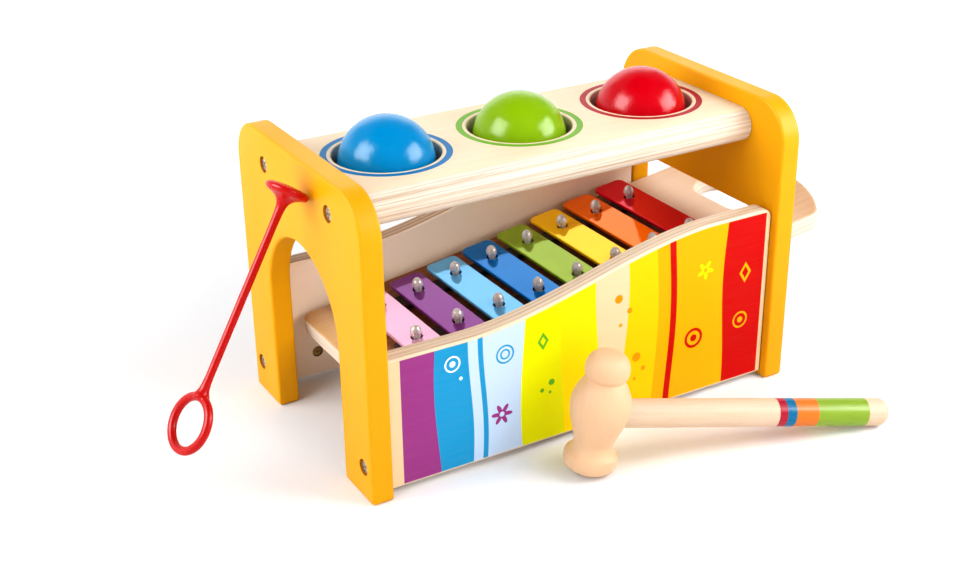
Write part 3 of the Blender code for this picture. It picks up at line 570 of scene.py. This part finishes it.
def slab(outline, t, place, edge, seg, through=(), hole_edge=0.6, hole_seg=3, blind=()):
    """Plate with rounded edges, through holes and round blind recesses.

    Slots: 0 face at h=0, 1 face at h=t, 2 rim, 3 hole walls, 4 recesses.
    blind holds (a, b, radius, depth, side) with side 0 or 1.
    """
    bm = bmesh.new()

    def ring(points, h):
        return [bm.verts.new(Vector(place(a, b, h)) * MM) for a, b in points]

    low = quarter(edge, seg)
    levels = low + [(d, t - h) for d, h in reversed(low)]
    outer = [ring(inset(outline, d) if d > 1e-6 else outline, h) for d, h in levels]
    for a, b in zip(outer, outer[1:]):
        bridge(bm, a, b, 2)
    faces = [[outer[0]], [outer[-1]]]
    low = quarter(hole_edge, hole_seg)
    levels = low + [(d, t - h) for d, h in reversed(low)]
    for hole in through:
        rings = [ring(inset(hole, -d) if d > 1e-6 else hole, h) for d, h in levels]
        for a, b in zip(rings, rings[1:]):
            bridge(bm, a, b, 3)
        faces[0].append(rings[0])
        faces[1].append(rings[-1])
    for ca, cb, r, depth, side in blind:
        prof = [(r + d, h) for d, h in quarter(0.35, 3)] + [(r, depth - 0.3), (r - 0.3, depth)]
        rings = [ring([(ca + rr * math.cos(2 * math.pi * k / 40), cb + rr * math.sin(2 * math.pi * k / 40))
                       for k in range(40)], h if side == 0 else t - h) for rr, h in prof]
        for k, (a, b) in enumerate(zip(rings, rings[1:])):
            bridge(bm, a, b, 2 if k < 2 else 4)
        bm.faces.new(rings[-1]).material_index = 4
        faces[side].append(rings[0])
    fill(bm, faces[0], 0)
    fill(bm, faces[1], 1)
    return bm


def lathe(profile, n, place=lambda a, b, h: (a, b, h), mats=None):
    bm = bmesh.new()
    rows = []
    for r, h in profile:
        if r < 1e-6:
            rows.append([bm.verts.new(Vector(place(0.0, 0.0, h)) * MM)])
        else:
            rows.append([bm.verts.new(Vector(place(r * math.cos(2 * math.pi * i / n),
                                                   r * math.sin(2 * math.pi * i / n), h)) * MM) for i in range(n)])
    for k, (a, b) in enumerate(zip(rows, rows[1:])):
        for i in range(n):
            j = (i + 1) % n
            if len(a) == 1:
                f = bm.faces.new((a[0], b[j], b[i]))
            elif len(b) == 1:
                f = bm.faces.new((a[i], a[j], b[0]))
            else:
                f = bm.faces.new((a[i], a[j], b[j], b[i]))
            if mats:
                f.material_index = mats[k]
    for row in (rows[0], rows[-1]):
        if len(row) > 1:
            bm.faces.new(row)
    return bm


def smooth_profile(points, per=6):
    """Curve through the points, close to a turned outline."""
    out = []
    n = len(points)
    for i in range(n - 1):
        p0, p1, p2, p3 = points[max(i - 1, 0)], points[i], points[i + 1], points[min(i + 2, n - 1)]
        for k in range(per):
            t = k / per
            out.append(tuple(0.5 * (2 * p1[c] + (p2[c] - p0[c]) * t + (2 * p0[c] - 5 * p1[c] + 4 * p2[c] - p3[c]) * t * t
                                    + (3 * p1[c] - p0[c] - 3 * p2[c] + p3[c]) * t ** 3) for c in (0, 1)))
    out.append(points[-1])
    return out


def to_mesh(name, bm, mats, sharp=38.0):
    bmesh.ops.remove_doubles(bm, verts=bm.verts, dist=1e-7)
    bmesh.ops.recalc_face_normals(bm, faces=bm.faces)
    mesh = bpy.data.meshes.new(name)
    bm.to_mesh(mesh)
    bm.free()
    for mat in mats:
        mesh.materials.append(mat)
    mesh.shade_smooth()
    mesh.set_sharp_from_angle(angle=math.radians(sharp))
    return mesh


def settle(mesh, matrix):
    """Turns the mesh itself into place and keeps its own axes for the pattern."""
    att = mesh.attributes.new("own_axes", "FLOAT_VECTOR", "POINT")
    for v, a in zip(mesh.vertices, att.data):
        a.vector = v.co
    mesh.transform(matrix)
    return mesh


def piece(name, mesh, node, body, matrix=BENCH, weighted=False):
    obj = bpy.data.objects.new(name, mesh)
    bpy.context.scene.collection.objects.link(obj)
    obj.matrix_world = matrix
    if weighted:
        mod = obj.modifiers.new("even shading", "WEIGHTED_NORMAL")
        mod.mode = "FACE_AREA"
        mod.weight = 100
        mod.keep_sharp = True
    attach(obj, body)
    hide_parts(node)
    return obj


def cut(mesh_obj, cutter_bm, operation="DIFFERENCE", mat=None):
    """Applies one Boolean to an object that is not placed yet."""
    cm = to_mesh("cutter", cutter_bm, [mat] if mat else [])
    co = bpy.data.objects.new("cutter", cm)
    bpy.context.scene.collection.objects.link(co)
    mod = mesh_obj.modifiers.new("cut", "BOOLEAN")
    mod.operation = operation
    mod.solver = "EXACT"
    mod.object = co
    bpy.context.view_layer.update()
    dg = bpy.context.evaluated_depsgraph_get()
    new = bpy.data.meshes.new_from_object(mesh_obj.evaluated_get(dg))
    mesh_obj.modifiers.clear()
    old = mesh_obj.data
    mesh_obj.data = new
    bpy.data.meshes.remove(old)
    bpy.data.objects.remove(co, do_unlink=True)
    return new


def carve(name, bm, cutter_bm, mats, sharp=38.0, operation="DIFFERENCE"):
    obj = bpy.data.objects.new("tmp_" + name, to_mesh(name, bm, mats, sharp))
    bpy.context.scene.collection.objects.link(obj)
    mesh = cut(obj, cutter_bm, operation)
    bpy.data.objects.remove(obj, do_unlink=True)
    mesh.shade_smooth()
    mesh.set_sharp_from_angle(angle=math.radians(sharp))
    mesh.name = name
    return mesh


# ---------------------------------------------------------------- end panels
def end_outline(left):
    c = 1.6
    pts = arc(DEPTH - c, c, c, 270, 360, 5)
    pts += arc(DEPTH - END_ROUND, HEIGHT - END_ROUND, END_ROUND, 0, 90, 24)
    pts += arc(END_ROUND, HEIGHT - END_ROUND, END_ROUND, 90, 180, 24)
    pts += arc(c, c, c, 180, 270, 5)
    if left:
        y0, y1 = MID_Y - ARCH_HALF, MID_Y + ARCH_HALF
        pts += arc(y0 - c, c, c, 270, 360, 5)
        pts += arc(MID_Y, ARCH_SPRING, ARCH_HALF, 180, 0, 64)
    else:
        y0, y1 = SLOT_Y, DEPTH - SLOT_Y
        pts += arc(y0 - c, c, c, 270, 360, 5)
        pts += arc(SLOT_Y + SLOT_R, SLOT_TOP - SLOT_R, SLOT_R, 180, 90, 12)
        pts += arc(DEPTH - SLOT_Y - SLOT_R, SLOT_TOP - SLOT_R, SLOT_R, 90, 0, 12)
    pts += arc(y1 + c, c, c, 180, 270, 5)
    return pts


SCREWS = [(FRONT_MID, LOW_SCREW_Z), (BACK_MID, LOW_SCREW_Z),
          (MID_Y - TOP_SCREW_DY, TOP_SCREW_Z), (MID_Y + TOP_SCREW_DY, TOP_SCREW_Z)]
for left in (True, False):
    x0 = 0.0 if left else LENGTH - END_T
    name = "end_panel_left" if left else "end_panel_right"
    bm = slab(end_outline(left), END_T, lambda a, b, h, x0=x0: (x0 + h, a, b), 1.3, 5,
              blind=[(y, z, BORE_R, BORE_DEPTH, 0 if left else 1) for y, z in SCREWS])
    piece("painted_" + name, to_mesh(name, bm, [YELLOW, YELLOW, YELLOW, YELLOW, BORE]), name, "bench",
          weighted=True)

# ----------------------------------------------------------------- top board
bm = bmesh.new()
x0, x1 = END_T + GAP, LENGTH - END_T - GAP
r = TOP_T / 2
zc = TOP_Z - r
front = [(TOP_Y0 + r - r * math.cos(a), zc + r * math.sin(a)) for a in
         (-math.pi / 2 + math.pi * k / 28 for k in range(29))]
back = [(DEPTH - y, z) for y, z in reversed(front)]
prof = front + back
la = [bm.verts.new(Vector((x0, y, z)) * MM) for y, z in prof]
lb = [bm.verts.new(Vector((x1, y, z)) * MM) for y, z in prof]
n = len(front)
for i in list(range(n - 1)) + list(range(n, 2 * n - 1)):
    bm.faces.new((la[i], lb[i], lb[i + 1], la[i + 1]))
bm.faces.new(la)
bm.faces.new(lb)
tops, bottoms = [], []
for bx in BALL_X:
    zb = TOP_Z - TOP_T
    steps = [(HOLE_R + d, TOP_Z - h) for d, h in quarter(0.7, 4)]
    steps += [(HOLE_R, zb + LEDGE_T), (LEDGE_R, zb + LEDGE_T)]
    steps += [(LEDGE_R + d, zb + h) for d, h in reversed(quarter(0.5, 3))]
    rings = [[bm.verts.new(Vector((bx + rr * math.cos(2 * math.pi * k / 96), MID_Y + rr * math.sin(2 * math.pi * k / 96), z)) * MM)
              for k in range(96)] for rr, z in steps]
    for a, b in zip(rings, rings[1:]):
        bridge(bm, a, b, 0)
    tops.append(rings[0])
    bottoms.append(rings[-1])
fill(bm, [[la[n - 1], lb[n - 1], lb[n], la[n]]] + tops, 0)
fill(bm, [[la[0], la[2 * n - 1], lb[2 * n - 1], lb[0]]] + bottoms, 0)
piece("drilled_top_board", to_mesh("top_board", bm, [PLY_TOP]), "top_board", "bench", weighted=True)

# ------------------------------------------------------ front and back panels
xl, xr = END_T + GAP, LENGTH - END_T - GAP
side = [(xl, SIDE_Z0), (xr, SIDE_Z0)]
side += arc(xr - SIDE_CORNER_R, SIDE_HIGH - SIDE_CORNER_R, SIDE_CORNER_R, 0, 90, 14)
side += [(WAVE_X1 + (WAVE_X0 - WAVE_X1) * k / 72, wave(WAVE_X1 + (WAVE_X0 - WAVE_X1) * k / 72)) for k in range(73)]
side.append((xl, SIDE_LOW))
for is_front in (True, False):
    y0 = SIDE_Y if is_front else BACK_Y
    name = "front_panel" if is_front else "back_panel"
    nut_side = 1 if is_front else 0
    bm = slab(side, SIDE_T, lambda a, b, h, y0=y0: (a, y0 + h, b), 1.2, 4,
              blind=[(xn, LOW_SCREW_Z, 2.8, 8.0, nut_side) for xn in (xl + NUT_INSET, xr - NUT_INSET)])
    ply = PLY_SIDE if is_front else PLY_BACK_PAINTED_LIGHT
    mats = [PRINT, ply, ply, ply, RAW] if is_front else [ply, PLY_REAR, ply, ply, RAW]
    piece("printed_front_panel" if is_front else "plain_back_panel", to_mesh(name, bm, mats), name, "bench",
          weighted=True)

# ------------------------------------------------------ screws, nuts, dowels
head = [(0.0, 0.0), (1.4, -0.06), (2.3, -0.20), (2.9, -0.42), (3.25, -0.72), (3.45, -1.1), (3.5, -1.6), (3.42, -1.95),
        (1.75, -2.0), (1.75, -29.4), (0.8, -30.9), (0.0, -30.9)]
cross = bmesh.new()
w, a = 0.62, 2.3
pts = [(w, w), (w, a), (-w, a), (-w, w), (-a, w), (-a, -w), (-w, -w), (-w, -a), (w, -a), (w, -w), (a, -w), (a, w)]
rings = [[cross.verts.new(Vector((p[0] * s, p[1] * s, h)) * MM) for p in pts] for s, h in ((1.0, 0.4), (0.94, -0.6), (0.66, -1.7))]
bridge(cross, rings[0], rings[1], 0)
bridge(cross, rings[1], rings[2], 0)
cross.faces.new(rings[0])
cross.faces.new(rings[2])
screw = carve("screw", lathe(head, 48), cross, [STEEL], 30.0)
nut = carve("barrel_nut", lathe([(0.0, 0.0), (2.3, 0.0), (2.62, -0.3), (2.65, -0.6), (2.65, -6.7), (2.4, -7.0), (0.0, -7.0)], 40),
            lathe([(0.0, 0.5), (0.9, 0.5), (0.9, -0.8), (0.0, -0.8)], 4), [BRASS], 30.0)
to_x = {True: Matrix.Rotation(-math.pi / 2, 4, "Y"), False: Matrix.Rotation(math.pi / 2, 4, "Y")}
turn = {"top_left_front": 12, "top_left_back": 50, "low_left_front": 28, "low_left_back": 66,
        "top_right_front": 71, "top_right_back": 33, "low_right_front": 5, "low_right_back": 44}
for left in (True, False):
    lr = "left" if left else "right"
    xo = (BORE_DEPTH - 2.9) if left else LENGTH - (BORE_DEPTH - 2.9)
    for is_front in (True, False):
        fb = "front" if is_front else "back"
        for level, z in (("low", LOW_SCREW_Z), ("top", TOP_SCREW_Z)):
            y = (FRONT_MID if is_front else BACK_MID) if level == "low" else MID_Y + (-TOP_SCREW_DY if is_front else TOP_SCREW_DY)
            key = f"{level}_{lr}_{fb}"
            piece("plated_screw_" + key, screw, "screw_" + key, "bench",
                  BENCH @ Matrix.Translation(Vector((xo, y, z)) * MM) @ to_x[left]
                  @ Matrix.Rotation(math.radians(turn[key]), 4, "Z"))
        xn = xl + NUT_INSET if left else xr - NUT_INSET
        ym = FRONT_MID if is_front else BACK_MID
        yo = ym + 4.1 if is_front else ym - 4.1
        piece(f"brassy_nut_{lr}_{fb}", nut, f"barrel_nut_{lr}_{fb}", "bench",
              BENCH @ Matrix.Translation(Vector((xn, yo, LOW_SCREW_Z)) * MM)
              @ Matrix.Rotation(-math.pi / 2 if is_front else math.pi / 2, 4, "X"))
        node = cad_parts[f"dowel_{lr}_{fb}"]
        node.data.materials.clear()
        node.data.materials.append(STRIP_WOOD)

# --------------------------------------------------------- grip rings, balls
for name, bx, bz in zip(BALLS, BALL_X, BALL_Z):
    z0 = TOP_Z - TOP_T + LEDGE_T + 0.1
    z1 = z0 + 4.4
    bm = bmesh.new()

    def inner(z, bz=bz):
        return math.sqrt(BALL_R ** 2 - (z - bz) ** 2)

    prof = [(HOLE_R - 0.2, z0), (HOLE_R - 0.2, z1), (inner(z1) + 1.0, z1), (inner(z1 - 0.5) + 0.6, z1 - 0.5)]
    for k in range(1, 8):          # three soft lips
        z = z1 - 0.5 + (z0 + 1.0 - z1) * k / 8
        prof.append((inner(z) + 0.45 + 0.35 * math.cos(2 * math.pi * 3 * k / 8) ** 2, z))
    prof += [(inner(z0 + 0.5) + 0.6, z0 + 0.5), (inner(z0) + 1.1, z0)]
    rings = [[bm.verts.new(Vector((rr * math.cos(2 * math.pi * k / 96), rr * math.sin(2 * math.pi * k / 96), z)) * MM)
              for k in range(96)] for rr, z in prof]
    for k in range(len(rings)):
        bridge(bm, rings[k], rings[(k + 1) % len(rings)], 0)
    piece(f"ribbed_grip_{name}", to_mesh(f"grip_{name}", bm, [RUBBER]), f"grip_ring_{name}", "bench",
          BENCH @ Matrix.Translation(Vector((bx, MID_Y, 0.0)) * MM))
    rows = 48
    prof = [(BALL_R * math.sin(math.pi * k / rows), -BALL_R * math.cos(math.pi * k / rows)) for k in range(rows + 1)]
    prof[0], prof[-1] = (0.0, -BALL_R), (0.0, BALL_R)
    piece(f"lacquered_ball_{name}", to_mesh(f"ball_{name}", lathe(prof, 96), [BALL_MATS[name]], 80.0), f"ball_{name}",
          f"{name}_ball", BENCH @ Matrix.Translation(Vector((bx, MID_Y, bz)) * MM))

# ------------------------------------------------------------------ xylophone
UC = BOARD_LEN - BOARD_END_R
yc = BOARD_HALF - BOARD_CORNER_R
uc = UC + math.sqrt((BOARD_END_R - BOARD_CORNER_R) ** 2 - yc ** 2)
ac = math.degrees(math.atan2(yc, uc - UC))
outline = arc(BOARD_R, -BOARD_HALF + BOARD_R, BOARD_R, 180, 270, 16)
outline += arc(uc, -yc, BOARD_CORNER_R, -90, -ac, 12)
outline += arc(UC, 0.0, BOARD_END_R - 0.05, -ac, ac, 60)[1:-1]
outline += arc(uc, yc, BOARD_CORNER_R, ac, 90, 12)
outline += arc(BOARD_R, BOARD_HALF - BOARD_R, BOARD_R, 90, 180, 16)
hand = arc(HAND_U, HAND_HALF - HAND_R, HAND_R, 0, 180, 32) + arc(HAND_U, HAND_R - HAND_HALF, HAND_R, 180, 360, 32)
bm = slab(outline, BOARD_T, lambda a, b, h: (a, b, h - BOARD_T), 1.7, 5, through=[hand], hole_edge=1.2, hole_seg=4,
          blind=[(BAR_U0 + BAR_PITCH * i, s * pin_half(i), 2.05, 6.5, 1) for i in range(8) for s in (-1, 1)])
piece("plywood_xylophone_board", settle(to_mesh("xylophone_board", bm, [PLY_BOARD] * 5), RAMP), "xylophone_board", "xylophone",
      weighted=True)

for s, fb in ((-1, "front"), (1, "back")):
    y0, y1 = pin_half(-0.45), pin_half(7.45)
    u0, u1 = BAR_U0 - 0.45 * BAR_PITCH, BAR_U0 + 7.45 * BAR_PITCH
    strip = [(u0, s * y0 - CUSHION_W / 2), (u1, s * y1 - CUSHION_W / 2),
             (u1, s * y1 + CUSHION_W / 2), (u0, s * y0 + CUSHION_W / 2)]
    holes = [[(BAR_U0 + BAR_PITCH * i + 2.05 * math.cos(2 * math.pi * k / 24), s * pin_half(i) + 2.05 * math.sin(2 * math.pi * k / 24))
              for k in range(24)] for i in range(8)]
    bm = slab(strip, CUSHION_T, lambda a, b, h: (a, b, h + 0.2), 0.7, 3, through=holes, hole_edge=0.3, hole_seg=2)
    piece(f"foam_cushion_{fb}", to_mesh(f"cushion_{fb}", bm, [FOAM] * 5), f"cushion_{fb}", "xylophone",
          XYLO, weighted=True)

h0 = BAR_TOP
pin_prof = [(0.0, -6.0), (1.75, -6.0), (1.75, h0 + 0.1), (2.02, h0 + 0.25), (2.10, h0 + 0.6), (2.08, h0 + 1.5), (2.15, h0 + 1.75),
            (2.60, h0 + 1.95), (2.74, h0 + 2.25), (2.75, h0 + 2.7), (2.68, h0 + 3.4), (2.48, h0 + 4.1), (2.12, h0 + 4.9),
            (1.62, h0 + 5.55), (1.05, h0 + 6.0), (0.5, h0 + 6.23), (0.0, h0 + 6.3)]
pin_mesh = to_mesh("pin", lathe(pin_prof, 40), [PEARL], 50.0)
for i, colour in enumerate(BARS):
    uc, hl, hw = BAR_U0 + BAR_PITCH * i, pin_half(i) / BAR_NODE, BAR_W / 2
    pts = (arc(uc + hw - BAR_R, -hl + BAR_R, BAR_R, -90, 0, 10) + arc(uc + hw - BAR_R, hl - BAR_R, BAR_R, 0, 90, 10)
           + arc(uc - hw + BAR_R, hl - BAR_R, BAR_R, 90, 180, 10) + arc(uc - hw + BAR_R, -hl + BAR_R, BAR_R, 180, 270, 10))
    holes = [[(uc + 2.85 * math.cos(2 * math.pi * k / 36), s * pin_half(i) + 2.85 * math.sin(2 * math.pi * k / 36))
              for k in range(36)] for s in (-1, 1)]
    bm = slab(pts, BAR_T, lambda a, b, h: (a, b, BAR_TOP - BAR_T + h), 0.55, 4, through=holes, hole_edge=0.35, hole_seg=3)
    piece(f"enamel_bar_{colour}", to_mesh(f"bar_{colour}", bm, [BAR_MATS[colour]] * 4), f"bar_{colour}", "xylophone",
          XYLO, weighted=True)
    for s, fb in ((-1, "front"), (1, "back")):
        piece(f"pearl_pin_{colour}_{fb}", pin_mesh, f"pin_{colour}_{fb}", "xylophone",
              XYLO @ Matrix.Translation(Vector((uc, s * pin_half(i), 0.0)) * MM)
              @ Matrix.Rotation(0.7 * i + s, 4, "Z"))

for s, fb in ((-1, "front"), (1, "back")):
    ya = SIDE_Y + SIDE_T + GAP - MID_Y
    y0, y1 = (ya, ya + REST_W) if s < 0 else (-ya - REST_W, -ya)
    n1 = -BOARD_T - GAP
    bm = slab([(REST_U0, y0), (REST_U1, y0), (REST_U1, y1), (REST_U0, y1)], REST_T,
              lambda a, b, h: (a, b, n1 - REST_T + h), 0.8, 3)
    piece(f"beech_rest_{fb}", to_mesh(f"rest_{fb}", bm, [STRIP_WOOD] * 3), f"rest_strip_{fb}", "bench", XYLO,
          weighted=True)

# --------------------------------------------------------------------- hammer
tilt = min(math.atan((HAM_SEAT - HAM_R + dr) / (HAM_L - dl - HAM_FLAT_R)) for dr, dl in ((0.0, 4.2), (0.3, 2.4), (1.3, 1.1)))
e = Vector((math.cos(HAM_YAW), math.sin(HAM_YAW), 0.0))
hx = e * math.cos(tilt) - Vector((0, 0, 1)) * math.sin(tilt)
uz = e * math.sin(tilt) + Vector((0, 0, 1)) * math.cos(tilt)
HAM = Matrix((hx, uz.cross(hx), uz)).transposed().to_4x4()
HAM.translation = Vector((HAM_X, HAM_Y, HAM_FLAT_R * math.sin(tilt) + 0.2)) * MM

foot = [(0.0, 0.0), (6.0, 0.0), (7.9, 0.0), (8.5, 0.12), (9.2, 0.4), (10.1, 0.85), (11.0, 1.5), (11.7, 2.3), (12.2, 3.3),
        (12.5, 4.3), (12.58, 5.3), (12.5, 6.4), (12.36, 7.5), (12.22, 8.2), (12.12, 8.5), (11.9, 8.72)]
waist = smooth_profile([(11.9, 8.72), (11.4, 9.05), (10.6, 9.75), (9.85, 10.8), (9.35, 12.1), (9.15, 13.6), (9.3, 15.0), (9.9, 17.0), (11.0, 20.2),
                        (12.3, 24.0), (13.3, 28.0), (13.8, 31.2), (13.86, 33.4), (13.5, 36.4), (12.55, 39.5), (11.05, 42.6),
                        (9.5, 44.9), (8.7, 45.9)], 5)
cap = smooth_profile([(8.6, 46.3), (9.1, 46.9), (9.85, 47.95), (10.2, 49.6), (10.25, 51.2), (10.05, 52.8), (9.4, 54.8), (8.2, 56.6),
                      (6.4, 58.0), (4.3, 58.8), (2.2, 59.1), (0.0, 59.15)], 5)
head_mesh = carve("hammer_head", lathe(foot + waist[1:] + cap, 96),
                  lathe([(HAM_R + 0.12, 0.0), (HAM_R + 0.12, 30.0)], 64, lambda a, b, h: (h - 6.9, a, HAM_SEAT + b)), [HEAD_WOOD], 32.0)
piece("turned_hammer_head", settle(head_mesh, HAM), "hammer_head", "hammer")
hl, hr = HAM_L - 0.1, HAM_R - 0.05
prof = [(0.0, -6.6), (hr - 0.6, -6.6), (hr, -6.0), (hr, 40.0), (hr, 90.0), (hr, hl - 4.3)]
prof += [(hr - 3.4 * (1 - math.cos(a)), hl - 4.3 + 4.05 * math.sin(a)) for a in (math.pi / 2 * k / 10 for k in range(1, 10))]
prof += [(hr - 3.6, hl - 0.2), (hr - 4.6, hl - 0.08), (0.0, hl)]
handle_mesh = to_mesh("hammer_handle", lathe(prof, 72, lambda a, b, h: (h, a, HAM_SEAT + b)), [HANDLE], 40.0)
piece("banded_hammer_handle", settle(handle_mesh, HAM), "hammer_handle", "hammer")

# --------------------------------------------------------------------- beater
w = Vector(BEAT_DIR).normalized()
q = Vector(BEAT_RING)
q = (q - w * q.dot(w)).normalized()
BEAT = Matrix((q, w.cross(q), w)).transposed().to_4x4()
BEAT.translation = Vector((BEAT_X, BEAT_Y, BEAT_Z)) * MM
rt = BEAT_RT - 0.05
bm = bmesh.new()
rows = []
for i in range(96):
    a = 2 * math.pi * i / 96
    rows.append([bm.verts.new(Vector(((BEAT_RM + rt * math.cos(b)) * math.cos(a), rt * math.sin(b),
                                      (BEAT_RM + rt * math.cos(b)) * math.sin(a))) * MM)
                 for b in (2 * math.pi * k / 24 for k in range(24))])
for i in range(96):
    bridge(bm, rows[i], rows[(i + 1) % 96], 0)
hh, hr, sr = BEAT_LEN, BEAT_HEAD_R, BEAT_STEM_R
prof = [(0.0, BEAT_RM - 0.8), (2.6, BEAT_RM - 0.8)]
prof += smooth_profile([(3.9, BEAT_RM + 0.5), (3.2, BEAT_RM + 1.7), (2.6, BEAT_RM + 3.0), (2.2, BEAT_RM + 4.8), (1.92, BEAT_RM + 8.0), (sr, BEAT_RM + 12.0),
                        (sr, 50.0), (sr, 75.0), (sr, hh - 18.0), (1.95, hh - 12.0), (2.1, hh - 8.7), (2.4, hh - 6.5), (2.9, hh - 5.1),
                        (3.65, hh - 4.0), (4.6, hh - 3.15), (5.8, hh - 2.5), (7.2, hh - 1.95), (8.5, hh - 1.5), (9.25, hh - 1.1), (9.7, hh - 0.5),
                        (hr, hh + 0.2), (hr - 0.12, hh + 0.9), (hr - 0.5, hh + 1.45), (hr - 1.3, hh + 1.9), (hr - 2.9, hh + 2.25),
                        (hr - 5.6, hh + 2.6), (0.0, hh + 2.85)], 5)
beat_mesh = carve("beater", bm, lathe(prof, 48), [PLASTIC], 80.0, "UNION")
obj = bpy.data.objects.new("moulded_beater", beat_mesh)
bpy.context.scene.collection.objects.link(obj)
mod = obj.modifiers.new("skin", "REMESH")
mod.mode = "VOXEL"
mod.voxel_size = 0.36 * MM
mod.use_smooth_shade = True
mod = obj.modifiers.new("fillet", "SMOOTH")
mod.factor = 0.5
mod.iterations = 8
bpy.context.view_layer.update()
skin = bpy.data.meshes.new_from_object(obj.evaluated_get(bpy.context.evaluated_depsgraph_get()))
bpy.data.objects.remove(obj, do_unlink=True)
skin.materials.clear()
skin.materials.append(PLASTIC)
skin.shade_smooth()
piece("moulded_beater", settle(skin, BEAT), "beater", "beater")

# ------------------------------------------------------------- floor and light
floor_mesh = bpy.data.meshes.new("floor")
floor_mesh.from_pydata([(-40, -40, 0), (40, -40, 0), (40, 40, 0), (-40, 40, 0)], [], [(0, 1, 2, 3)])
floor = bpy.data.objects.new("floor", floor_mesh)
bpy.context.scene.collection.objects.link(floor)
floor.location.z = -0.0002
fm = Mat("floor_white", 0.9, 0.05)
fm.set("Base Color", fm.mix(fm.step(fm.noise(fm.pos, 0.002, 2.0, 0.5), 0.3, 0.7), (0.86, 0.866, 0.886, 1.0), (0.845, 0.852, 0.872, 1.0)))
far = fm.f("SQRT", fm.f("MULTIPLY_ADD", fm.x, fm.x, fm.mul(fm.y, fm.y)))
fm.set("Emission Color", (1.0, 1.0, 1.0, 1.0))
fm.set("Emission Strength", fm.step(far, 190.0, 700.0, 0.0, 0.60))          # the sweep is lit behind the toy
floor_mesh.materials.append(fm.m)

world = bpy.data.worlds.new("studio")
bpy.context.scene.world = world
world.use_nodes = True
wt = world.node_tree
bg = wt.nodes["Background"]
tc = wt.nodes.new("ShaderNodeTexCoord")
sep = wt.nodes.new("ShaderNodeSeparateXYZ")
wt.links.new(tc.outputs["Generated"], sep.inputs[0])


def wset(node, values):
    for sock, v in zip(node.inputs, values):
        if isinstance(v, bpy.types.NodeSocket):
            wt.links.new(v, sock)
        else:
            sock.default_value = v
    return node.outputs[0]


def wmath(op, a, b=0.0, c=0.0):
    n = wt.nodes.new("ShaderNodeMath")
    n.operation = op
    return wset(n, (a, b, c))


def wstep(x, a, b, lo, hi):
    n = wt.nodes.new("ShaderNodeMapRange")
    n.interpolation_type = "SMOOTHSTEP"
    return wset(n, (x, a, b, lo, hi))


wx, wy, wz = sep.outputs
flat = wmath("MAXIMUM", wmath("SQRT", wmath("MULTIPLY_ADD", wx, wx, wmath("MULTIPLY", wy, wy))), 1e-4)
low_band = wstep(wz, 0.30, 0.50, 1.0, 0.0)
mid_band = wmath("SUBTRACT", wstep(wz, 0.80, 0.95, 1.0, 0.0), low_band)
glow = None
for az, low, mid in ((-150, 0.12, 0.30), (-60, 1.40, 0.72), (30, 1.70, 0.55), (120, 0.05, 0.05)):   # walls round the toy
    a = math.radians(az)
    d = wmath("DIVIDE", wmath("MULTIPLY_ADD", wx, math.sin(a), wmath("MULTIPLY", wy, math.cos(a))), flat)
    d = wmath("MAXIMUM", d, 0.0)
    wall = wmath("MULTIPLY", wmath("MULTIPLY", d, d),
                 wmath("MULTIPLY_ADD", low_band, low, wmath("MULTIPLY", mid_band, mid)))
    glow = wall if glow is None else wmath("ADD", glow, wall)
wt.links.new(glow, bg.inputs["Color"])
bg.inputs["Strength"].default_value = 1.0

CENTRE = ORIGIN + Vector((116.0, 60.0, 70.0)) * MM


def softbox(name, az, elev, dist, size, radiance, glossy=True, diffuse=True, colour=(1.0, 1.0, 1.0)):
    d = Vector((math.sin(math.radians(az)) * math.cos(math.radians(elev)),
                math.cos(math.radians(az)) * math.cos(math.radians(elev)), math.sin(math.radians(elev))))
    data = bpy.data.lights.new(name, "AREA")
    data.shape = "RECTANGLE"
    data.size, data.size_y = size
    data.energy = radiance * math.pi * size[0] * size[1]
    data.color = colour
    obj = bpy.data.objects.new(name, data)
    bpy.context.scene.collection.objects.link(obj)
    obj.location = CENTRE + d * dist
    obj.rotation_mode = "QUATERNION"
    obj.rotation_quaternion = (-d).to_track_quat("-Z", "Y")
    obj.visible_camera = False
    obj.visible_glossy = glossy
    obj.visible_diffuse = diffuse
    return obj


softbox("left_box", -86, 35, 1.4, (0.85, 0.80), 16.0, diffuse=False)
softbox("right_box", 128, 25, 1.4, (0.95, 0.70), 16.0, diffuse=False)
softbox("back_box", 22, 33, 1.4, (1.3, 0.55), 1.25, diffuse=False)
softbox("right_key", 138, 32, 0.75, (0.45, 0.45), 5.6, glossy=False)
softbox("right_top", 130, 55, 0.75, (0.45, 0.45), 2.2, glossy=False)
softbox("front_low", 178, 20, 0.80, (0.55, 0.45), 2.0, glossy=False)
softbox("left_key", -84, 32, 0.85, (0.90, 0.70), 2.7, glossy=False)

# --------------------------------------------------------------------- camera
yaw, pitch, roll = math.radians(29.876), math.radians(25.515), math.radians(0.807)
fwd = Vector((math.sin(yaw) * math.cos(pitch), math.cos(yaw) * math.cos(pitch), -math.sin(pitch)))
right = Vector((math.cos(yaw), -math.sin(yaw), 0.0))
down = fwd.cross(right)
r2 = right * math.cos(roll) + down * math.sin(roll)
d2 = down * math.cos(roll) - right * math.sin(roll)
cam_data = bpy.data.cameras.new("camera")
cam_data.sensor_fit = "HORIZONTAL"
cam_data.sensor_width = 36.0
cam_data.lens = 1471.283 / 960.0 * 36.0
cam_data.clip_start, cam_data.clip_end = 0.01, 50.0
cam = bpy.data.objects.new("camera", cam_data)
bpy.context.scene.collection.objects.link(cam)
m = Matrix((r2, -d2, -fwd)).transposed().to_4x4()
m.translation = ORIGIN + Vector((-229.028, -495.709, 367.256)) * MM
cam.matrix_world = m
bpy.context.scene.camera = cam
bpy.context.scene.view_settings.view_transform = "Standard"
bpy.context.scene.view_settings.look = "Medium High Contrast"
